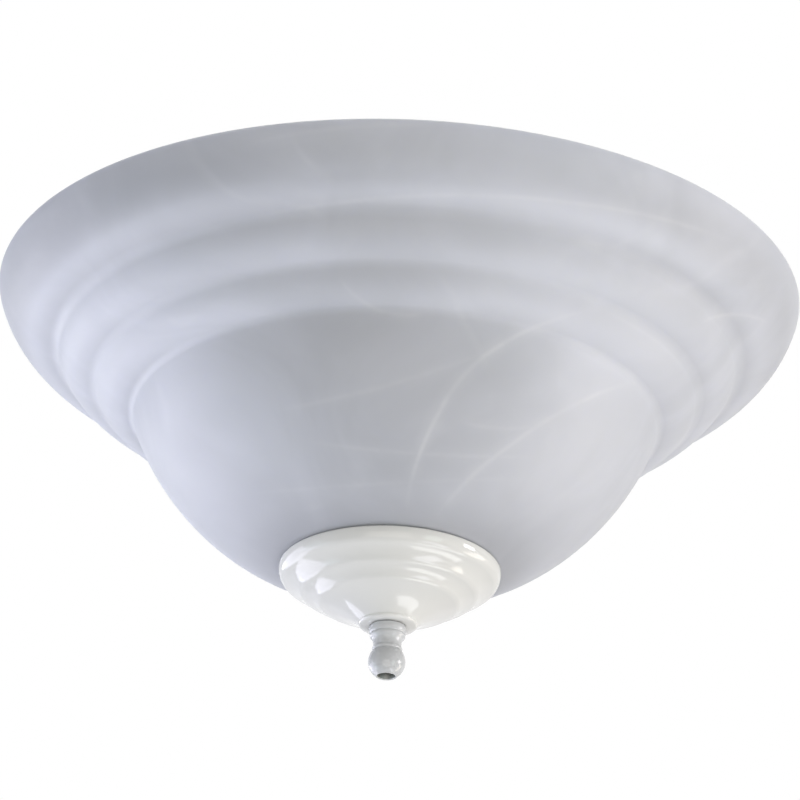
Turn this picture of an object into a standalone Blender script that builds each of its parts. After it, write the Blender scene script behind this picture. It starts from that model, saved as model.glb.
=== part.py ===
"""Bowl light kit for a ceiling fan.

A tiered glass bowl hangs on a hollow rod between a stop nut and a dish cap, which a drilled
finial holds up. Three small lamps lie above it on a bracket under the fitter pan.
Lengths are in metres. Height zero is the pan's face that seats on the fan's switch housing,
the kit hangs below it, and the rod is on the Z axis.
"""

import math

import bmesh
import bpy
from mathutils import Matrix, Vector
from mathutils.geometry import interpolate_bezier

# Fits shared by the whole kit
CLEARANCE = 0.0003          # gap left round and between pieces that touch
MERGE_DISTANCE = 0.000001
CUT_OVERRUN = 0.002         # how far a cutter runs past the faces that it opens

# Lamp thread on the axis, shared by nipple, rod, nuts and finial
THREAD_RADIUS = 0.00515
PIPE_BORE_RADIUS = 0.0035
NUT_FLATS = 0.0143
NUT_HEIGHT = 0.004
LOCK_WASHER_RADIUS = 0.0086
LOCK_WASHER_TOOTH = 0.0012
LOCK_WASHER_THICKNESS = 0.0008

# Fitter pan and nipple
PAN_RADIUS = 0.056
PAN_DEPTH = 0.026
PAN_SHEET = 0.001
PAN_CORNER = 0.004
PAN_FLANGE = 0.002
HOUSING_PLATE = 0.002       # plate of the fan's housing, clamped between pan and nut
NIPPLE_REACH = 0.016        # length of nipple above the pan

# Hickey, the open casting between nipple and rod
HICKEY_RADIUS = 0.0095
HICKEY_BOSS = 0.006
HICKEY_WINDOW = 0.012
HICKEY_WINDOW_WIDTH = 0.0125

# Socket bracket
BRACKET_SHEET = 0.0015
HUB_RADIUS = 0.0125
ARM_WIDTH = 0.008
ARM_REACH = 0.0205          # from the axis to the inner face of a tab
TAB_DROP = 0.0112           # from the arm's underside to a lamp's axis
TAB_TAIL = 0.0045           # tab below the lamp's axis
LAMP_TILT = math.radians(6)
LAMP_AZIMUTHS = [math.radians(90), math.radians(210), math.radians(330)]

# Lampholders
HOLDER_LENGTH = 0.028
HOLDER_FLOOR = 0.006
HOLDER_WALL = 0.0026
HOLDER_SHOULDER = 0.0012
SCREW_RADIUS = 0.0016
SCREW_HEAD_RADIUS = 0.0029
SCREW_HEAD_HEIGHT = 0.002
SCREW_BITE = 0.004          # length of screw inside a lampholder
SHELL_WALL = 0.0004
SHELL_RECESS = 0.001        # from the lampholder's mouth down to its screw shell
SHELL_LEDGE = 0.0022        # width of the ring at the screw shell's foot
CONTACT_STRIP = 0.0004
CONTACT_WIDTH = 0.0026
CONTACT_HALF_SPAN = 0.0026
CONTACT_CROWN_SHARE = 0.9
CONTACT_BOW_SHARE = 0.16

# Lamps, with candelabra bases
BASE_RADIUS = 0.006
BASE_HEIGHT = 0.0155
BASE_WALL = 0.0004
BASE_FOOT = 0.0022
THREAD_START = 0.0030       # smooth collar of a base above its thread
THREAD_PITCH = 0.00254
THREAD_DEPTH = 0.0004
THREAD_TURNS = 3
BUTTON_RADIUS = 0.002
BUTTON_HEIGHT = 0.0012
INSULATOR_HEIGHT = 0.0018
LAMP_STANDOFF = 0.0005      # from the lampholder's mouth to the rim of a base
BULB_LENGTH = 0.074
BULB_RADIUS = 0.0165
BULB_WALL = 0.0008
BULB_NECK = 0.008           # length of neck inside a base
BULB_BELLY_SHARE = 0.38
BULB_SWELL_SHARE = 0.17
BULB_TAPER_SHARE = 0.26
BULB_TIP_SHARE = 0.34
BUTTON_FACE_SHARE = 0.7
BULB_ARC_STEPS = 5
BULB_INSIDE_STEPS = 3

# Glass bowl, by depth below its rim
RIM_DROP = 0.030            # from the seat down to the rim
BOWL_RADIUS = 0.165
GLASS_WALL = 0.004
TIER_1_RADIUS = 0.1396
TIER_1_DEPTH = 0.0268
TIER_2_RADIUS = 0.1238
TIER_2_DEPTH = 0.0422
DOME_RADIUS = 0.1077
DOME_TOP = 0.0543
BOWL_DEPTH = 0.1236
SEAT_RADIUS = 0.016         # flat round the hole at the bottom
GLASS_HOLE_RADIUS = 0.0064
TIER_BULGE_SHARES = [0.132, 0.128, 0.112]
DOME_HANDLE_SHARES = [0.0685, 0.361, 0.585]

# Clamp on the glass
WASHER_RADIUS = 0.0135
STOP_WASHER_THICKNESS = 0.0012
GLASS_WASHER_THICKNESS = 0.0015

# Dish cap, by depth below its upper edge
CAP_RADIUS = 0.045
CAP_SHEET = 0.001
CAP_EDGE = 0.0008
CAP_BAND_RADIUS = 0.0431
CAP_BAND_DEPTH = 0.0058
CAP_STEP_1_RADIUS = 0.0355
CAP_STEP_1_DEPTH = 0.0112
CAP_STEP_2_RADIUS = 0.0282
CAP_STEP_2_DEPTH = 0.0156
CAP_LIP_RADIUS = 0.0119
CAP_DEPTH = 0.0251
CAP_LIP_EDGE = 0.0004
CAP_BAND_BULGE_SHARE = 0.09
CAP_COVE_SHARE = -0.07
CAP_FLARE_SHARE = -0.05
GASKET_WIDTH = 0.005

# Finial, by depth below its upper face
COLLAR_RADIUS = 0.00765
COLLAR_HEIGHT = 0.0031
RING_RADIUS = 0.0073
RING_HEIGHT = 0.0022
GROOVE_DEPTH = 0.0004
NECK_TOP_RADIUS = 0.0063
NECK_RADIUS = 0.0058
NECK_HEIGHT = 0.0036
BEAD_RADIUS = 0.0061
BEAD_HEIGHT = 0.0014
BALL_RADIUS = 0.0075
OUTLET_RADIUS = 0.0038
FINIAL_THREAD_DEPTH = 0.0056
ROD_END_GAP = 0.0004        # from the rod's lower end to the foot of the finial's thread
NECK_HOLLOW_SHARE = -0.08
RING_BULGE_SHARE = 0.22
BALL_ARC_STEPS = 8

# Leads and the connectors that join them in the pan
LEAD_RADIUS = 0.0009
LEAD_OFFSET = 0.0056        # from a lamp's axis to its leads
LEAD_SEAT = 0.004           # length of lead inside a lampholder's floor
LEAD_STRAIGHT = 0.0025      # straight run behind a lampholder
LEAD_SPACING = 0.0054       # between the points of a lead's curve
RISER_RADIUS = 0.019
RISER_ANGLE = math.radians(25)
CONNECTOR_PLACE = 0.029     # from the axis to a connector's own axis
CONNECTOR_RADIUS = 0.0056
CONNECTOR_TOP_RADIUS = 0.0042
CONNECTOR_LENGTH = 0.0155
CONNECTOR_BORE_DEPTH = 0.011
CONNECTOR_HEADROOM = 0.0012
LEAD_BITE = 0.008           # length of lead inside a connector
LEAD_GAP = 0.0007           # between two leads in a connector
BLACK_AZIMUTH = math.radians(30)
WHITE_AZIMUTH = math.radians(150)
NEAR_LANE = (0.0230, -0.0235)       # radius and height of a lead's way round the hickey
MIDDLE_LANE = (0.0224, -0.0270)
BLACK_FAR_LANE = (0.0132, -0.0215)
WHITE_FAR_LANE = (0.0160, -0.0262)
LANE_STEP = math.radians(25)
APPROACH_ANGLE = math.radians(11)

# How finely round pieces are cut
BOWL_STEPS = 48
TIER_STEPS = [5, 4, 4]
TIER_INSIDE_STEPS = [3, 2, 2]
DOME_STEPS = 14
DOME_INSIDE_STEPS = 6
CAP_STEPS = 40
CAP_ARC_STEPS = 3
CAP_INSIDE_STEPS = 2
PAN_STEPS = 32
FINIAL_STEPS = 20
PIPE_STEPS = 16
LAMP_STEPS = 16
NUT_STEPS = 18
SCREW_STEPS = 10
SMOOTH_ANGLE = math.radians(32)
CORNER_SHARE = (math.sqrt(2) - 1) / 2   # bulge of a quarter circle over its chord

# Places and fits that follow from the sizes above
HOLE_RADIUS = THREAD_RADIUS + CLEARANCE
PAN_WASHER_BOTTOM = -PAN_SHEET - CLEARANCE - LOCK_WASHER_THICKNESS
PAN_NUT_BOTTOM = PAN_WASHER_BOTTOM - CLEARANCE - NUT_HEIGHT
HICKEY_TOP = PAN_NUT_BOTTOM - CLEARANCE
NIPPLE_BOTTOM = HICKEY_TOP - HICKEY_BOSS
ROD_TOP = NIPPLE_BOTTOM - HICKEY_WINDOW
HICKEY_BOTTOM = ROD_TOP - HICKEY_BOSS
BRACKET_TOP = HICKEY_BOTTOM - CLEARANCE
BRACKET_BOTTOM = BRACKET_TOP - BRACKET_SHEET
BRACKET_WASHER_BOTTOM = BRACKET_BOTTOM - CLEARANCE - LOCK_WASHER_THICKNESS
BRACKET_NUT_BOTTOM = BRACKET_WASHER_BOTTOM - CLEARANCE - NUT_HEIGHT
GLASS_WASHER_BOTTOM = -RIM_DROP - BOWL_DEPTH + GLASS_WALL + CLEARANCE
STOP_WASHER_BOTTOM = GLASS_WASHER_BOTTOM + GLASS_WASHER_THICKNESS + CLEARANCE
STOP_NUT_BOTTOM = STOP_WASHER_BOTTOM + STOP_WASHER_THICKNESS + CLEARANCE
SHELL_INNER_RADIUS = BASE_RADIUS + CLEARANCE
CAVITY_RADIUS = SHELL_INNER_RADIUS + SHELL_WALL + CLEARANCE
HOLDER_RADIUS = CAVITY_RADIUS + HOLDER_WALL
BASE_RIM = HOLDER_LENGTH + LAMP_STANDOFF
BASE_BORE_RADIUS = BASE_RADIUS - THREAD_DEPTH - BASE_WALL
LEAD_PITCH = 2 * LEAD_RADIUS + LEAD_GAP
SLOT_RADIUS = LEAD_PITCH / math.sqrt(3)
CONNECTOR_BORE_RADIUS = SLOT_RADIUS + LEAD_RADIUS + CLEARANCE
CONNECTOR_MOUTH = -PAN_SHEET - CONNECTOR_HEADROOM - CONNECTOR_LENGTH

# Colour, roughness and metallic value of each finish
FINISHES = {
    "frosted_glass": ((0.80, 0.82, 0.86), 0.45, 0.0),
    "white_enamel": ((0.86, 0.86, 0.84), 0.18, 0.0),
    "grey_white_enamel": ((0.70, 0.72, 0.74), 0.20, 0.0),
    "zinc_plate": ((0.66, 0.67, 0.68), 0.38, 1.0),
    "brass": ((0.78, 0.60, 0.30), 0.30, 1.0),
    "holder_moulding": ((0.84, 0.83, 0.79), 0.42, 0.0),
    "lamp_glass": ((0.90, 0.90, 0.89), 0.35, 0.0),
    "lamp_insulator": ((0.05, 0.04, 0.05), 0.25, 0.0),
    "rubber": ((0.09, 0.09, 0.09), 0.70, 0.0),
    "black_insulation": ((0.04, 0.04, 0.04), 0.45, 0.0),
    "white_insulation": ((0.85, 0.85, 0.83), 0.45, 0.0),
    "orange_cap": ((0.85, 0.36, 0.08), 0.50, 0.0),
}


def clear_scene():
    """Removes whatever the scene holds."""
    for item in list(bpy.data.objects):
        bpy.data.objects.remove(item, do_unlink=True)


def finish_material(name, finish):
    """A Principled material for one piece, in one of the kit's finishes."""
    colour, roughness, metallic = FINISHES[finish]
    material = bpy.data.materials.new(name + "_finish")
    material.use_nodes = True
    shader = material.node_tree.nodes["Principled BSDF"]
    shader.inputs["Base Color"].default_value = (*colour, 1.0)
    shader.inputs["Roughness"].default_value = roughness
    shader.inputs["Metallic"].default_value = metallic
    return material


def carrier(name, parent=None, matrix=None):
    """An empty on a joint's axis, which carries the pieces that move with it."""
    item = bpy.data.objects.new(name, None)
    bpy.context.scene.collection.objects.link(item)
    item.parent = parent
    if matrix is not None:
        item.matrix_basis = matrix
    return item


def piece(name, data, finish, parent=None, height=0.0):
    """Links one piece's object, with its own material, at a height on its parent's axis."""
    item = bpy.data.objects.new(name, data)
    bpy.context.scene.collection.objects.link(item)
    item.data.materials.append(finish_material(name, finish))
    item.parent = parent
    item.location = (0, 0, height)
    return item


def cutter(name, data, parent=None, matrix=None):
    """Links a hidden shape that only cuts, or is joined into, another piece."""
    item = bpy.data.objects.new(name, data)
    bpy.context.scene.collection.objects.link(item)
    item.parent = parent
    if matrix is not None:
        item.matrix_basis = matrix
    item.hide_render = True
    item.display_type = 'WIRE'
    return item


def combine(item, tool, operation):
    """Adds an exact Boolean with the tool to a piece."""
    modifier = item.modifiers.new(tool.name, 'BOOLEAN')
    modifier.operation = operation
    modifier.solver = 'EXACT'
    modifier.object = tool


def mesh_from(name, shape):
    """Turns a closed bmesh into a mesh with outward faces and smooth round sides."""
    bmesh.ops.remove_doubles(shape, verts=shape.verts, dist=MERGE_DISTANCE)
    bmesh.ops.recalc_face_normals(shape, faces=shape.faces)
    mesh = bpy.data.meshes.new(name)
    shape.to_mesh(mesh)
    shape.free()
    mesh.shade_smooth()
    mesh.set_sharp_from_angle(angle=SMOOTH_ANGLE)
    return mesh


def turned_mesh(name, outline, steps):
    """A solid turned about Z from a closed outline of radius and height pairs."""
    shape = bmesh.new()
    points = [shape.verts.new((radius, 0, height)) for radius, height in outline]
    edges = []
    for index, point in enumerate(points):
        before = points[index - 1]
        if max(point.co.x, before.co.x) > MERGE_DISTANCE:
            edges.append(shape.edges.new((before, point)))
    bmesh.ops.spin(shape, geom=points + edges, cent=(0, 0, 0), axis=(0, 0, 1),
                   angle=math.tau, steps=steps, use_duplicate=False)
    return mesh_from(name, shape)


def ring_mesh(name, outer_radii, hole_radius, height):
    """A flat ring standing on height zero, with one outer radius for each even step round it."""
    shape = bmesh.new()
    steps = len(outer_radii)
    loops = [[], [], [], []]
    for index, outer in enumerate(outer_radii):
        angle = math.tau * index / steps
        across = Vector((math.cos(angle), math.sin(angle), 0))
        rise = Vector((0, 0, height))
        corners = [across * outer, across * outer + rise,
                   across * hole_radius + rise, across * hole_radius]
        for loop, corner in zip(loops, corners):
            loop.append(shape.verts.new(corner))
    for side in range(4):
        first = loops[side]
        second = loops[(side + 1) % 4]
        for index in range(steps):
            following = (index + 1) % steps
            shape.faces.new((first[index], first[following], second[following], second[index]))
    return mesh_from(name, shape)


def strip_mesh(name, outline, width):
    """A bar of a given width along Y, from a closed outline of X and Z pairs."""
    shape = bmesh.new()
    sides = []
    for across in (-width / 2, width / 2):
        sides.append([shape.verts.new((x, across, z)) for x, z in outline])
    shape.faces.new(sides[0])
    shape.faces.new(sides[1])
    for index in range(len(outline)):
        shape.faces.new((sides[0][index - 1], sides[0][index], sides[1][index], sides[1][index - 1]))
    return mesh_from(name, shape)


def cylinder_mesh(name, radius, low, high, steps):
    """A plain cylinder about Z between two heights."""
    return turned_mesh(name, [(0, high), (radius, high), (radius, low), (0, low)], steps)


def box_mesh(name, width, depth, low, high):
    """A box centred on Z between two heights."""
    half = width / 2
    return strip_mesh(name, [(-half, low), (half, low), (half, high), (-half, high)], depth)


def arc(start, end, bulge_share, steps):
    """Points of a round arc from start to end, which stands a share of its chord outward."""
    start = Vector(start)
    end = Vector(end)
    chord = end - start
    half_angle = 2 * math.atan(2 * abs(bulge_share))
    radius = chord.length / 2 / math.sin(half_angle)
    outward = Vector((-chord.y, chord.x)).normalized()
    if outward.x < 0:
        outward = -outward
    if bulge_share < 0:
        outward = -outward
    centre = (start + end) / 2 - outward * radius * math.cos(half_angle)
    points = []
    for index in range(steps + 1):
        angle = half_angle * (2 * index / steps - 1)
        along = chord.normalized() * math.sin(angle)
        point = centre + radius * (along + outward * math.cos(angle))
        points.append((point.x, point.y))
    return points


def bezier(start, start_handle, end_handle, end, steps):
    """Radius and height pairs along a cubic curve between two points."""
    corners = [Vector(corner) for corner in (start, start_handle, end_handle, end)]
    return [(point.x, point.y) for point in interpolate_bezier(*corners, steps + 1)]


def offset_outline(outline, distance):
    """The same open outline moved sideways by a distance, with mitred corners."""
    points = [Vector(point) for point in outline]
    normals = []
    for before, after in zip(points, points[1:]):
        run = (after - before).normalized()
        normals.append(Vector((run.y, -run.x)))
    moved = [points[0] + normals[0] * distance]
    for index in range(1, len(points) - 1):
        mitre = normals[index - 1] + normals[index]
        moved.append(points[index] + mitre * 2 * distance / mitre.length_squared)
    moved.append(points[-1] + normals[-1] * distance)
    return [(point.x, point.y) for point in moved]


def hexagon_radii(flats, steps):
    """Outer radius of a hexagon at even steps round it, corners included."""
    radii = []
    for index in range(steps):
        angle = math.tau * index / steps
        from_flat = (angle % (math.pi / 3)) - math.pi / 6
        radii.append(flats / 2 / math.cos(from_flat))
    return radii


def bowl_curve(tier_steps, dome_steps):
    """Outside of the bowl from the rim down to the flat at its bottom."""
    rims = [(BOWL_RADIUS, 0), (TIER_1_RADIUS, -TIER_1_DEPTH),
            (TIER_2_RADIUS, -TIER_2_DEPTH), (DOME_RADIUS, -DOME_TOP)]
    points = []
    for index, bulge_share in enumerate(TIER_BULGE_SHARES):
        points += arc(rims[index], rims[index + 1], bulge_share, tier_steps[index])[:-1]
    return points + dome_curve(dome_steps)


def dome_curve(steps):
    """Outside of the bowl's dome, down to the flat at its bottom."""
    inset_share, drop_share, spread_share = DOME_HANDLE_SHARES
    handle = (DOME_RADIUS * (1 - inset_share), -DOME_TOP - drop_share * (BOWL_DEPTH - DOME_TOP))
    end_handle = (SEAT_RADIUS + spread_share * (DOME_RADIUS - SEAT_RADIUS), -BOWL_DEPTH)
    return bezier((DOME_RADIUS, -DOME_TOP), handle, end_handle, (SEAT_RADIUS, -BOWL_DEPTH), steps)


def dome_height(radius):
    """Height of the dome's outside at a radius, in the kit's own frame."""
    points = dome_curve(DOME_STEPS)
    for above, below in zip(points, points[1:]):
        if above[0] >= radius >= below[0]:
            part = (above[0] - radius) / (above[0] - below[0])
            return above[1] + part * (below[1] - above[1]) - RIM_DROP
    return -BOWL_DEPTH - RIM_DROP


def build_glass_bowl(parent):
    outside = bowl_curve(TIER_STEPS, DOME_STEPS)
    inside = offset_outline(bowl_curve(TIER_INSIDE_STEPS, DOME_INSIDE_STEPS), GLASS_WALL)
    inside[0] = (inside[0][0], 0)
    inside[-1] = (SEAT_RADIUS, GLASS_WALL - BOWL_DEPTH)
    outline = outside + [(GLASS_HOLE_RADIUS, -BOWL_DEPTH)]
    outline += [(GLASS_HOLE_RADIUS, GLASS_WALL - BOWL_DEPTH)] + inside[::-1]
    mesh = turned_mesh("glass_bowl", outline, BOWL_STEPS)
    piece("glass_bowl", mesh, "frosted_glass", parent, -RIM_DROP)


def cap_curve(steps):
    """Outside of the cap from its upper edge down to its flat foot."""
    edge_top = (CAP_RADIUS - CAP_EDGE, 0)
    edge_side = (CAP_RADIUS, -CAP_EDGE)
    band = (CAP_BAND_RADIUS, -CAP_BAND_DEPTH)
    step_1 = (CAP_STEP_1_RADIUS, -CAP_STEP_1_DEPTH)
    step_2 = (CAP_STEP_2_RADIUS, -CAP_STEP_2_DEPTH)
    lip = (CAP_LIP_RADIUS, -CAP_DEPTH + CAP_LIP_EDGE)
    points = [edge_top]
    points += arc(edge_side, band, CAP_BAND_BULGE_SHARE, steps)[:-1]
    points += arc(band, step_1, CAP_COVE_SHARE, steps)[:-1]
    points += arc(step_1, step_2, CAP_COVE_SHARE, steps)[:-1]
    points += arc(step_2, lip, CAP_FLARE_SHARE, steps)
    return points + [(CAP_LIP_RADIUS - CAP_LIP_EDGE, -CAP_DEPTH)]


def cap_top():
    """Height of the cap's upper edge, just under the glass."""
    return dome_height(CAP_RADIUS - CAP_EDGE) - CLEARANCE


def build_bottom_cap(parent):
    outside = cap_curve(CAP_ARC_STEPS)
    inside = offset_outline(cap_curve(CAP_INSIDE_STEPS), CAP_SHEET)
    inside[-1] = (inside[-1][0], CAP_SHEET - CAP_DEPTH)
    foot = [(HOLE_RADIUS, -CAP_DEPTH), (HOLE_RADIUS, CAP_SHEET - CAP_DEPTH)]
    mesh = turned_mesh("bottom_cap", outside + foot + inside[::-1], CAP_STEPS)
    piece("bottom_cap", mesh, "white_enamel", parent, cap_top())


def build_cap_gasket(parent):
    """A rubber ring between the glass and the corner at the foot of the cap's band."""
    inside = offset_outline(cap_curve(CAP_INSIDE_STEPS), CAP_SHEET + CLEARANCE)
    outer, floor = next(point for point in inside if point[0] < CAP_BAND_RADIUS - CAP_SHEET)
    inner = outer - GASKET_WIDTH
    outline = [(inner, dome_height(inner) - CLEARANCE), (outer, dome_height(outer) - CLEARANCE)]
    outline += [(outer, floor + cap_top()), (inner, floor + cap_top())]
    piece("cap_gasket", turned_mesh("cap_gasket", outline, CAP_STEPS), "rubber", parent)


def finial_top():
    """Height of the finial's upper face, just under the cap."""
    return cap_top() - CAP_DEPTH - CLEARANCE


def finial_curve():
    """Outside of the finial from its upper face down to the outlet in its ball."""
    ring_top = -COLLAR_HEIGHT
    neck_top = ring_top - RING_HEIGHT
    bead_top = neck_top - NECK_HEIGHT
    ball_top = bead_top - BEAD_HEIGHT
    bead_share = (BEAD_RADIUS - NECK_RADIUS) / BEAD_HEIGHT
    collar_root = COLLAR_RADIUS - GROOVE_DEPTH
    ring_root = RING_RADIUS - GROOVE_DEPTH
    points = arc((collar_root, 0), (collar_root, ring_top), GROOVE_DEPTH / COLLAR_HEIGHT, 4)
    points += arc((ring_root, ring_top), (NECK_TOP_RADIUS, neck_top), RING_BULGE_SHARE, 4)
    points += arc((NECK_TOP_RADIUS, neck_top), (NECK_RADIUS, bead_top), NECK_HOLLOW_SHARE, 3)[1:]
    points += arc((NECK_RADIUS, bead_top), (NECK_RADIUS, ball_top), bead_share, 3)[1:]
    centre = ball_top - math.sqrt(BALL_RADIUS ** 2 - NECK_RADIUS ** 2)
    start_angle = math.asin(NECK_RADIUS / BALL_RADIUS)
    end_angle = math.pi - math.asin(OUTLET_RADIUS / BALL_RADIUS)
    for index in range(1, BALL_ARC_STEPS + 1):
        angle = start_angle + (end_angle - start_angle) * index / BALL_ARC_STEPS
        points.append((BALL_RADIUS * math.sin(angle), centre + BALL_RADIUS * math.cos(angle)))
    return points


def build_finial(parent):
    outline = finial_curve()
    outline += [(OUTLET_RADIUS, -FINIAL_THREAD_DEPTH), (HOLE_RADIUS, -FINIAL_THREAD_DEPTH), (HOLE_RADIUS, 0)]
    mesh = turned_mesh("finial", outline, FINIAL_STEPS)
    piece("finial", mesh, "grey_white_enamel", parent, finial_top())


def build_fitter_pan():
    """The inverted pan, with a flange at its open foot and a hole for the nipple."""
    wall_inside = PAN_RADIUS - PAN_SHEET
    flange = PAN_RADIUS + PAN_FLANGE
    outside = arc((PAN_RADIUS - PAN_CORNER, 0), (PAN_RADIUS, -PAN_CORNER), CORNER_SHARE, 3)
    inside_corner = PAN_CORNER - PAN_SHEET
    inside = arc((wall_inside - inside_corner, -PAN_SHEET), (wall_inside, -PAN_CORNER), CORNER_SHARE, 3)
    outline = [(HOLE_RADIUS, 0)] + outside
    outline += [(PAN_RADIUS, PAN_SHEET - PAN_DEPTH), (flange, PAN_SHEET - PAN_DEPTH)]
    outline += [(flange, -PAN_DEPTH), (wall_inside, -PAN_DEPTH)] + inside[::-1]
    outline += [(HOLE_RADIUS, -PAN_SHEET)]
    piece("fitter_pan", turned_mesh("fitter_pan", outline, PAN_STEPS), "white_enamel")


def build_pipe(name, low, high):
    """A length of the hollow threaded tube."""
    mesh = ring_mesh(name, [THREAD_RADIUS] * PIPE_STEPS, PIPE_BORE_RADIUS, high - low)
    piece(name, mesh, "zinc_plate", None, low)


def build_nut(name, low):
    mesh = ring_mesh(name, hexagon_radii(NUT_FLATS, NUT_STEPS), HOLE_RADIUS, NUT_HEIGHT)
    piece(name, mesh, "zinc_plate", None, low)


def build_lock_washer(name, low):
    """A washer with a tooth at every other step round its edge."""
    radii = [LOCK_WASHER_RADIUS, LOCK_WASHER_RADIUS - LOCK_WASHER_TOOTH] * (NUT_STEPS // 2)
    piece(name, ring_mesh(name, radii, HOLE_RADIUS, LOCK_WASHER_THICKNESS), "zinc_plate", None, low)


def build_round_washer(name, low, thickness, finish, parent=None):
    mesh = ring_mesh(name, [WASHER_RADIUS] * NUT_STEPS, HOLE_RADIUS, thickness)
    piece(name, mesh, finish, parent, low)


def build_hickey():
    """A round casting on two threaded bosses, opened from front to back by a window."""
    height = HICKEY_TOP - HICKEY_BOTTOM
    mesh = ring_mesh("hickey", [HICKEY_RADIUS] * NUT_STEPS, HOLE_RADIUS, height)
    casting = piece("hickey", mesh, "zinc_plate", None, HICKEY_BOTTOM)
    depth = 2 * (HICKEY_RADIUS + CUT_OVERRUN)
    window = box_mesh("hickey_window", HICKEY_WINDOW_WIDTH, depth, ROD_TOP, NIPPLE_BOTTOM)
    combine(casting, cutter("hickey_window_cutter", window), 'DIFFERENCE')


def lamp_matrix(azimuth):
    """Frame of a lamp: Z out along its axis from the lampholder's back, X down, Y across."""
    stand = BRACKET_SHEET + CLEARANCE
    reach = ARM_REACH - TAB_DROP * math.sin(LAMP_TILT) + stand * math.cos(LAMP_TILT)
    height = BRACKET_BOTTOM - TAB_DROP * math.cos(LAMP_TILT) - stand * math.sin(LAMP_TILT)
    turn = Matrix.Rotation(azimuth, 4, 'Z')
    tilt = Matrix.Rotation(math.pi / 2 + LAMP_TILT, 4, 'Y')
    return turn @ Matrix.Translation((reach, 0, height)) @ tilt


def build_socket_bracket():
    """A round hub with three arms, each bent down into a tab that carries a lampholder."""
    hub = ring_mesh("socket_bracket", [HUB_RADIUS] * NUT_STEPS, HOLE_RADIUS, BRACKET_SHEET)
    bracket = piece("socket_bracket", hub, "zinc_plate", None, BRACKET_BOTTOM)
    down = Vector((-math.sin(LAMP_TILT), -math.cos(LAMP_TILT)))
    outward = Vector((math.cos(LAMP_TILT), -math.sin(LAMP_TILT))) * BRACKET_SHEET
    inner_bend = Vector((ARM_REACH, BRACKET_BOTTOM))
    outer_bend = Vector((ARM_REACH + BRACKET_SHEET / math.cos(LAMP_TILT), BRACKET_TOP))
    foot = inner_bend + down * (TAB_DROP + TAB_TAIL)
    arm_root = (HUB_RADIUS + THREAD_RADIUS) / 2
    outline = [(arm_root, BRACKET_TOP), outer_bend, inner_bend + outward, foot + outward, foot]
    outline += [inner_bend, (arm_root, BRACKET_BOTTOM)]
    hole = cylinder_mesh("screw_hole", SCREW_RADIUS + CLEARANCE, -BRACKET_SHEET - CUT_OVERRUN,
                         CUT_OVERRUN, SCREW_STEPS)
    arm = strip_mesh("bracket_arm", outline, ARM_WIDTH)
    for number, azimuth in enumerate(LAMP_AZIMUTHS, 1):
        turn = Matrix.Rotation(azimuth, 4, 'Z')
        combine(bracket, cutter("arm_%d_shape" % number, arm, None, turn), 'UNION')
    for number, azimuth in enumerate(LAMP_AZIMUTHS, 1):
        drill = cutter("screw_hole_%d_cutter" % number, hole, None, lamp_matrix(azimuth))
        combine(bracket, drill, 'DIFFERENCE')


def thread_curve(radius, rim, turns):
    """Waves of a rolled thread, from a smooth collar at the rim down to the last root."""
    points = [(radius, rim), (radius, rim - THREAD_START)]
    for turn in range(turns):
        top = rim - THREAD_START - turn * THREAD_PITCH
        points.append((radius - THREAD_DEPTH, top - THREAD_PITCH / 2))
        points.append((radius, top - THREAD_PITCH))
    return points


def holder_mesh():
    """A lampholder's moulded body, with a blind hole for its screw in the back."""
    screw_hole = SCREW_RADIUS + CLEARANCE
    outline = [(screw_hole, SCREW_BITE + CLEARANCE), (0, SCREW_BITE + CLEARANCE), (0, HOLDER_FLOOR)]
    outline += [(CAVITY_RADIUS, HOLDER_FLOOR), (CAVITY_RADIUS, HOLDER_LENGTH)]
    outline += [(HOLDER_RADIUS - HOLDER_SHOULDER, HOLDER_LENGTH), (HOLDER_RADIUS, HOLDER_LENGTH - HOLDER_SHOULDER)]
    outline += [(HOLDER_RADIUS, HOLDER_SHOULDER), (HOLDER_RADIUS - HOLDER_SHOULDER, 0), (screw_hole, 0)]
    return turned_mesh("lampholder", outline, LAMP_STEPS)


def shell_mesh():
    """A brass screw shell that follows the base's thread, with a ledge round its foot."""
    top = HOLDER_LENGTH - SHELL_RECESS
    foot = HOLDER_FLOOR + CLEARANCE
    thread = thread_curve(SHELL_INNER_RADIUS, BASE_RIM, THREAD_TURNS)
    inner = [(SHELL_INNER_RADIUS, top)] + [point for point in thread if point[1] < top]
    outer = [(radius + SHELL_WALL, height) for radius, height in inner]
    ledge = SHELL_INNER_RADIUS - SHELL_LEDGE
    ledge_outline = [(SHELL_INNER_RADIUS, foot + SHELL_WALL), (ledge, foot + SHELL_WALL), (ledge, foot)]
    ledge_outline += [(SHELL_INNER_RADIUS + SHELL_WALL, foot)]
    return turned_mesh("screw_shell", inner + ledge_outline + outer[::-1], LAMP_STEPS)


def contact_mesh():
    """A sprung strip bowed up from the lampholder's floor to the lamp's button."""
    foot = HOLDER_FLOOR + CLEARANCE
    crown = lamp_tip() - CLEARANCE
    outer = [(-CONTACT_HALF_SPAN, foot), (CONTACT_HALF_SPAN, foot)]
    bow = arc((crown, CONTACT_HALF_SPAN * CONTACT_CROWN_SHARE), (crown, -CONTACT_HALF_SPAN * CONTACT_CROWN_SHARE),
              CONTACT_BOW_SHARE, 4)
    outer += [(across, height - (max(point[0] for point in bow) - crown)) for height, across in bow]
    inner = offset_outline(outer, -CONTACT_STRIP)
    return strip_mesh("centre_contact", outer + inner[::-1], CONTACT_WIDTH)


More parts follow.
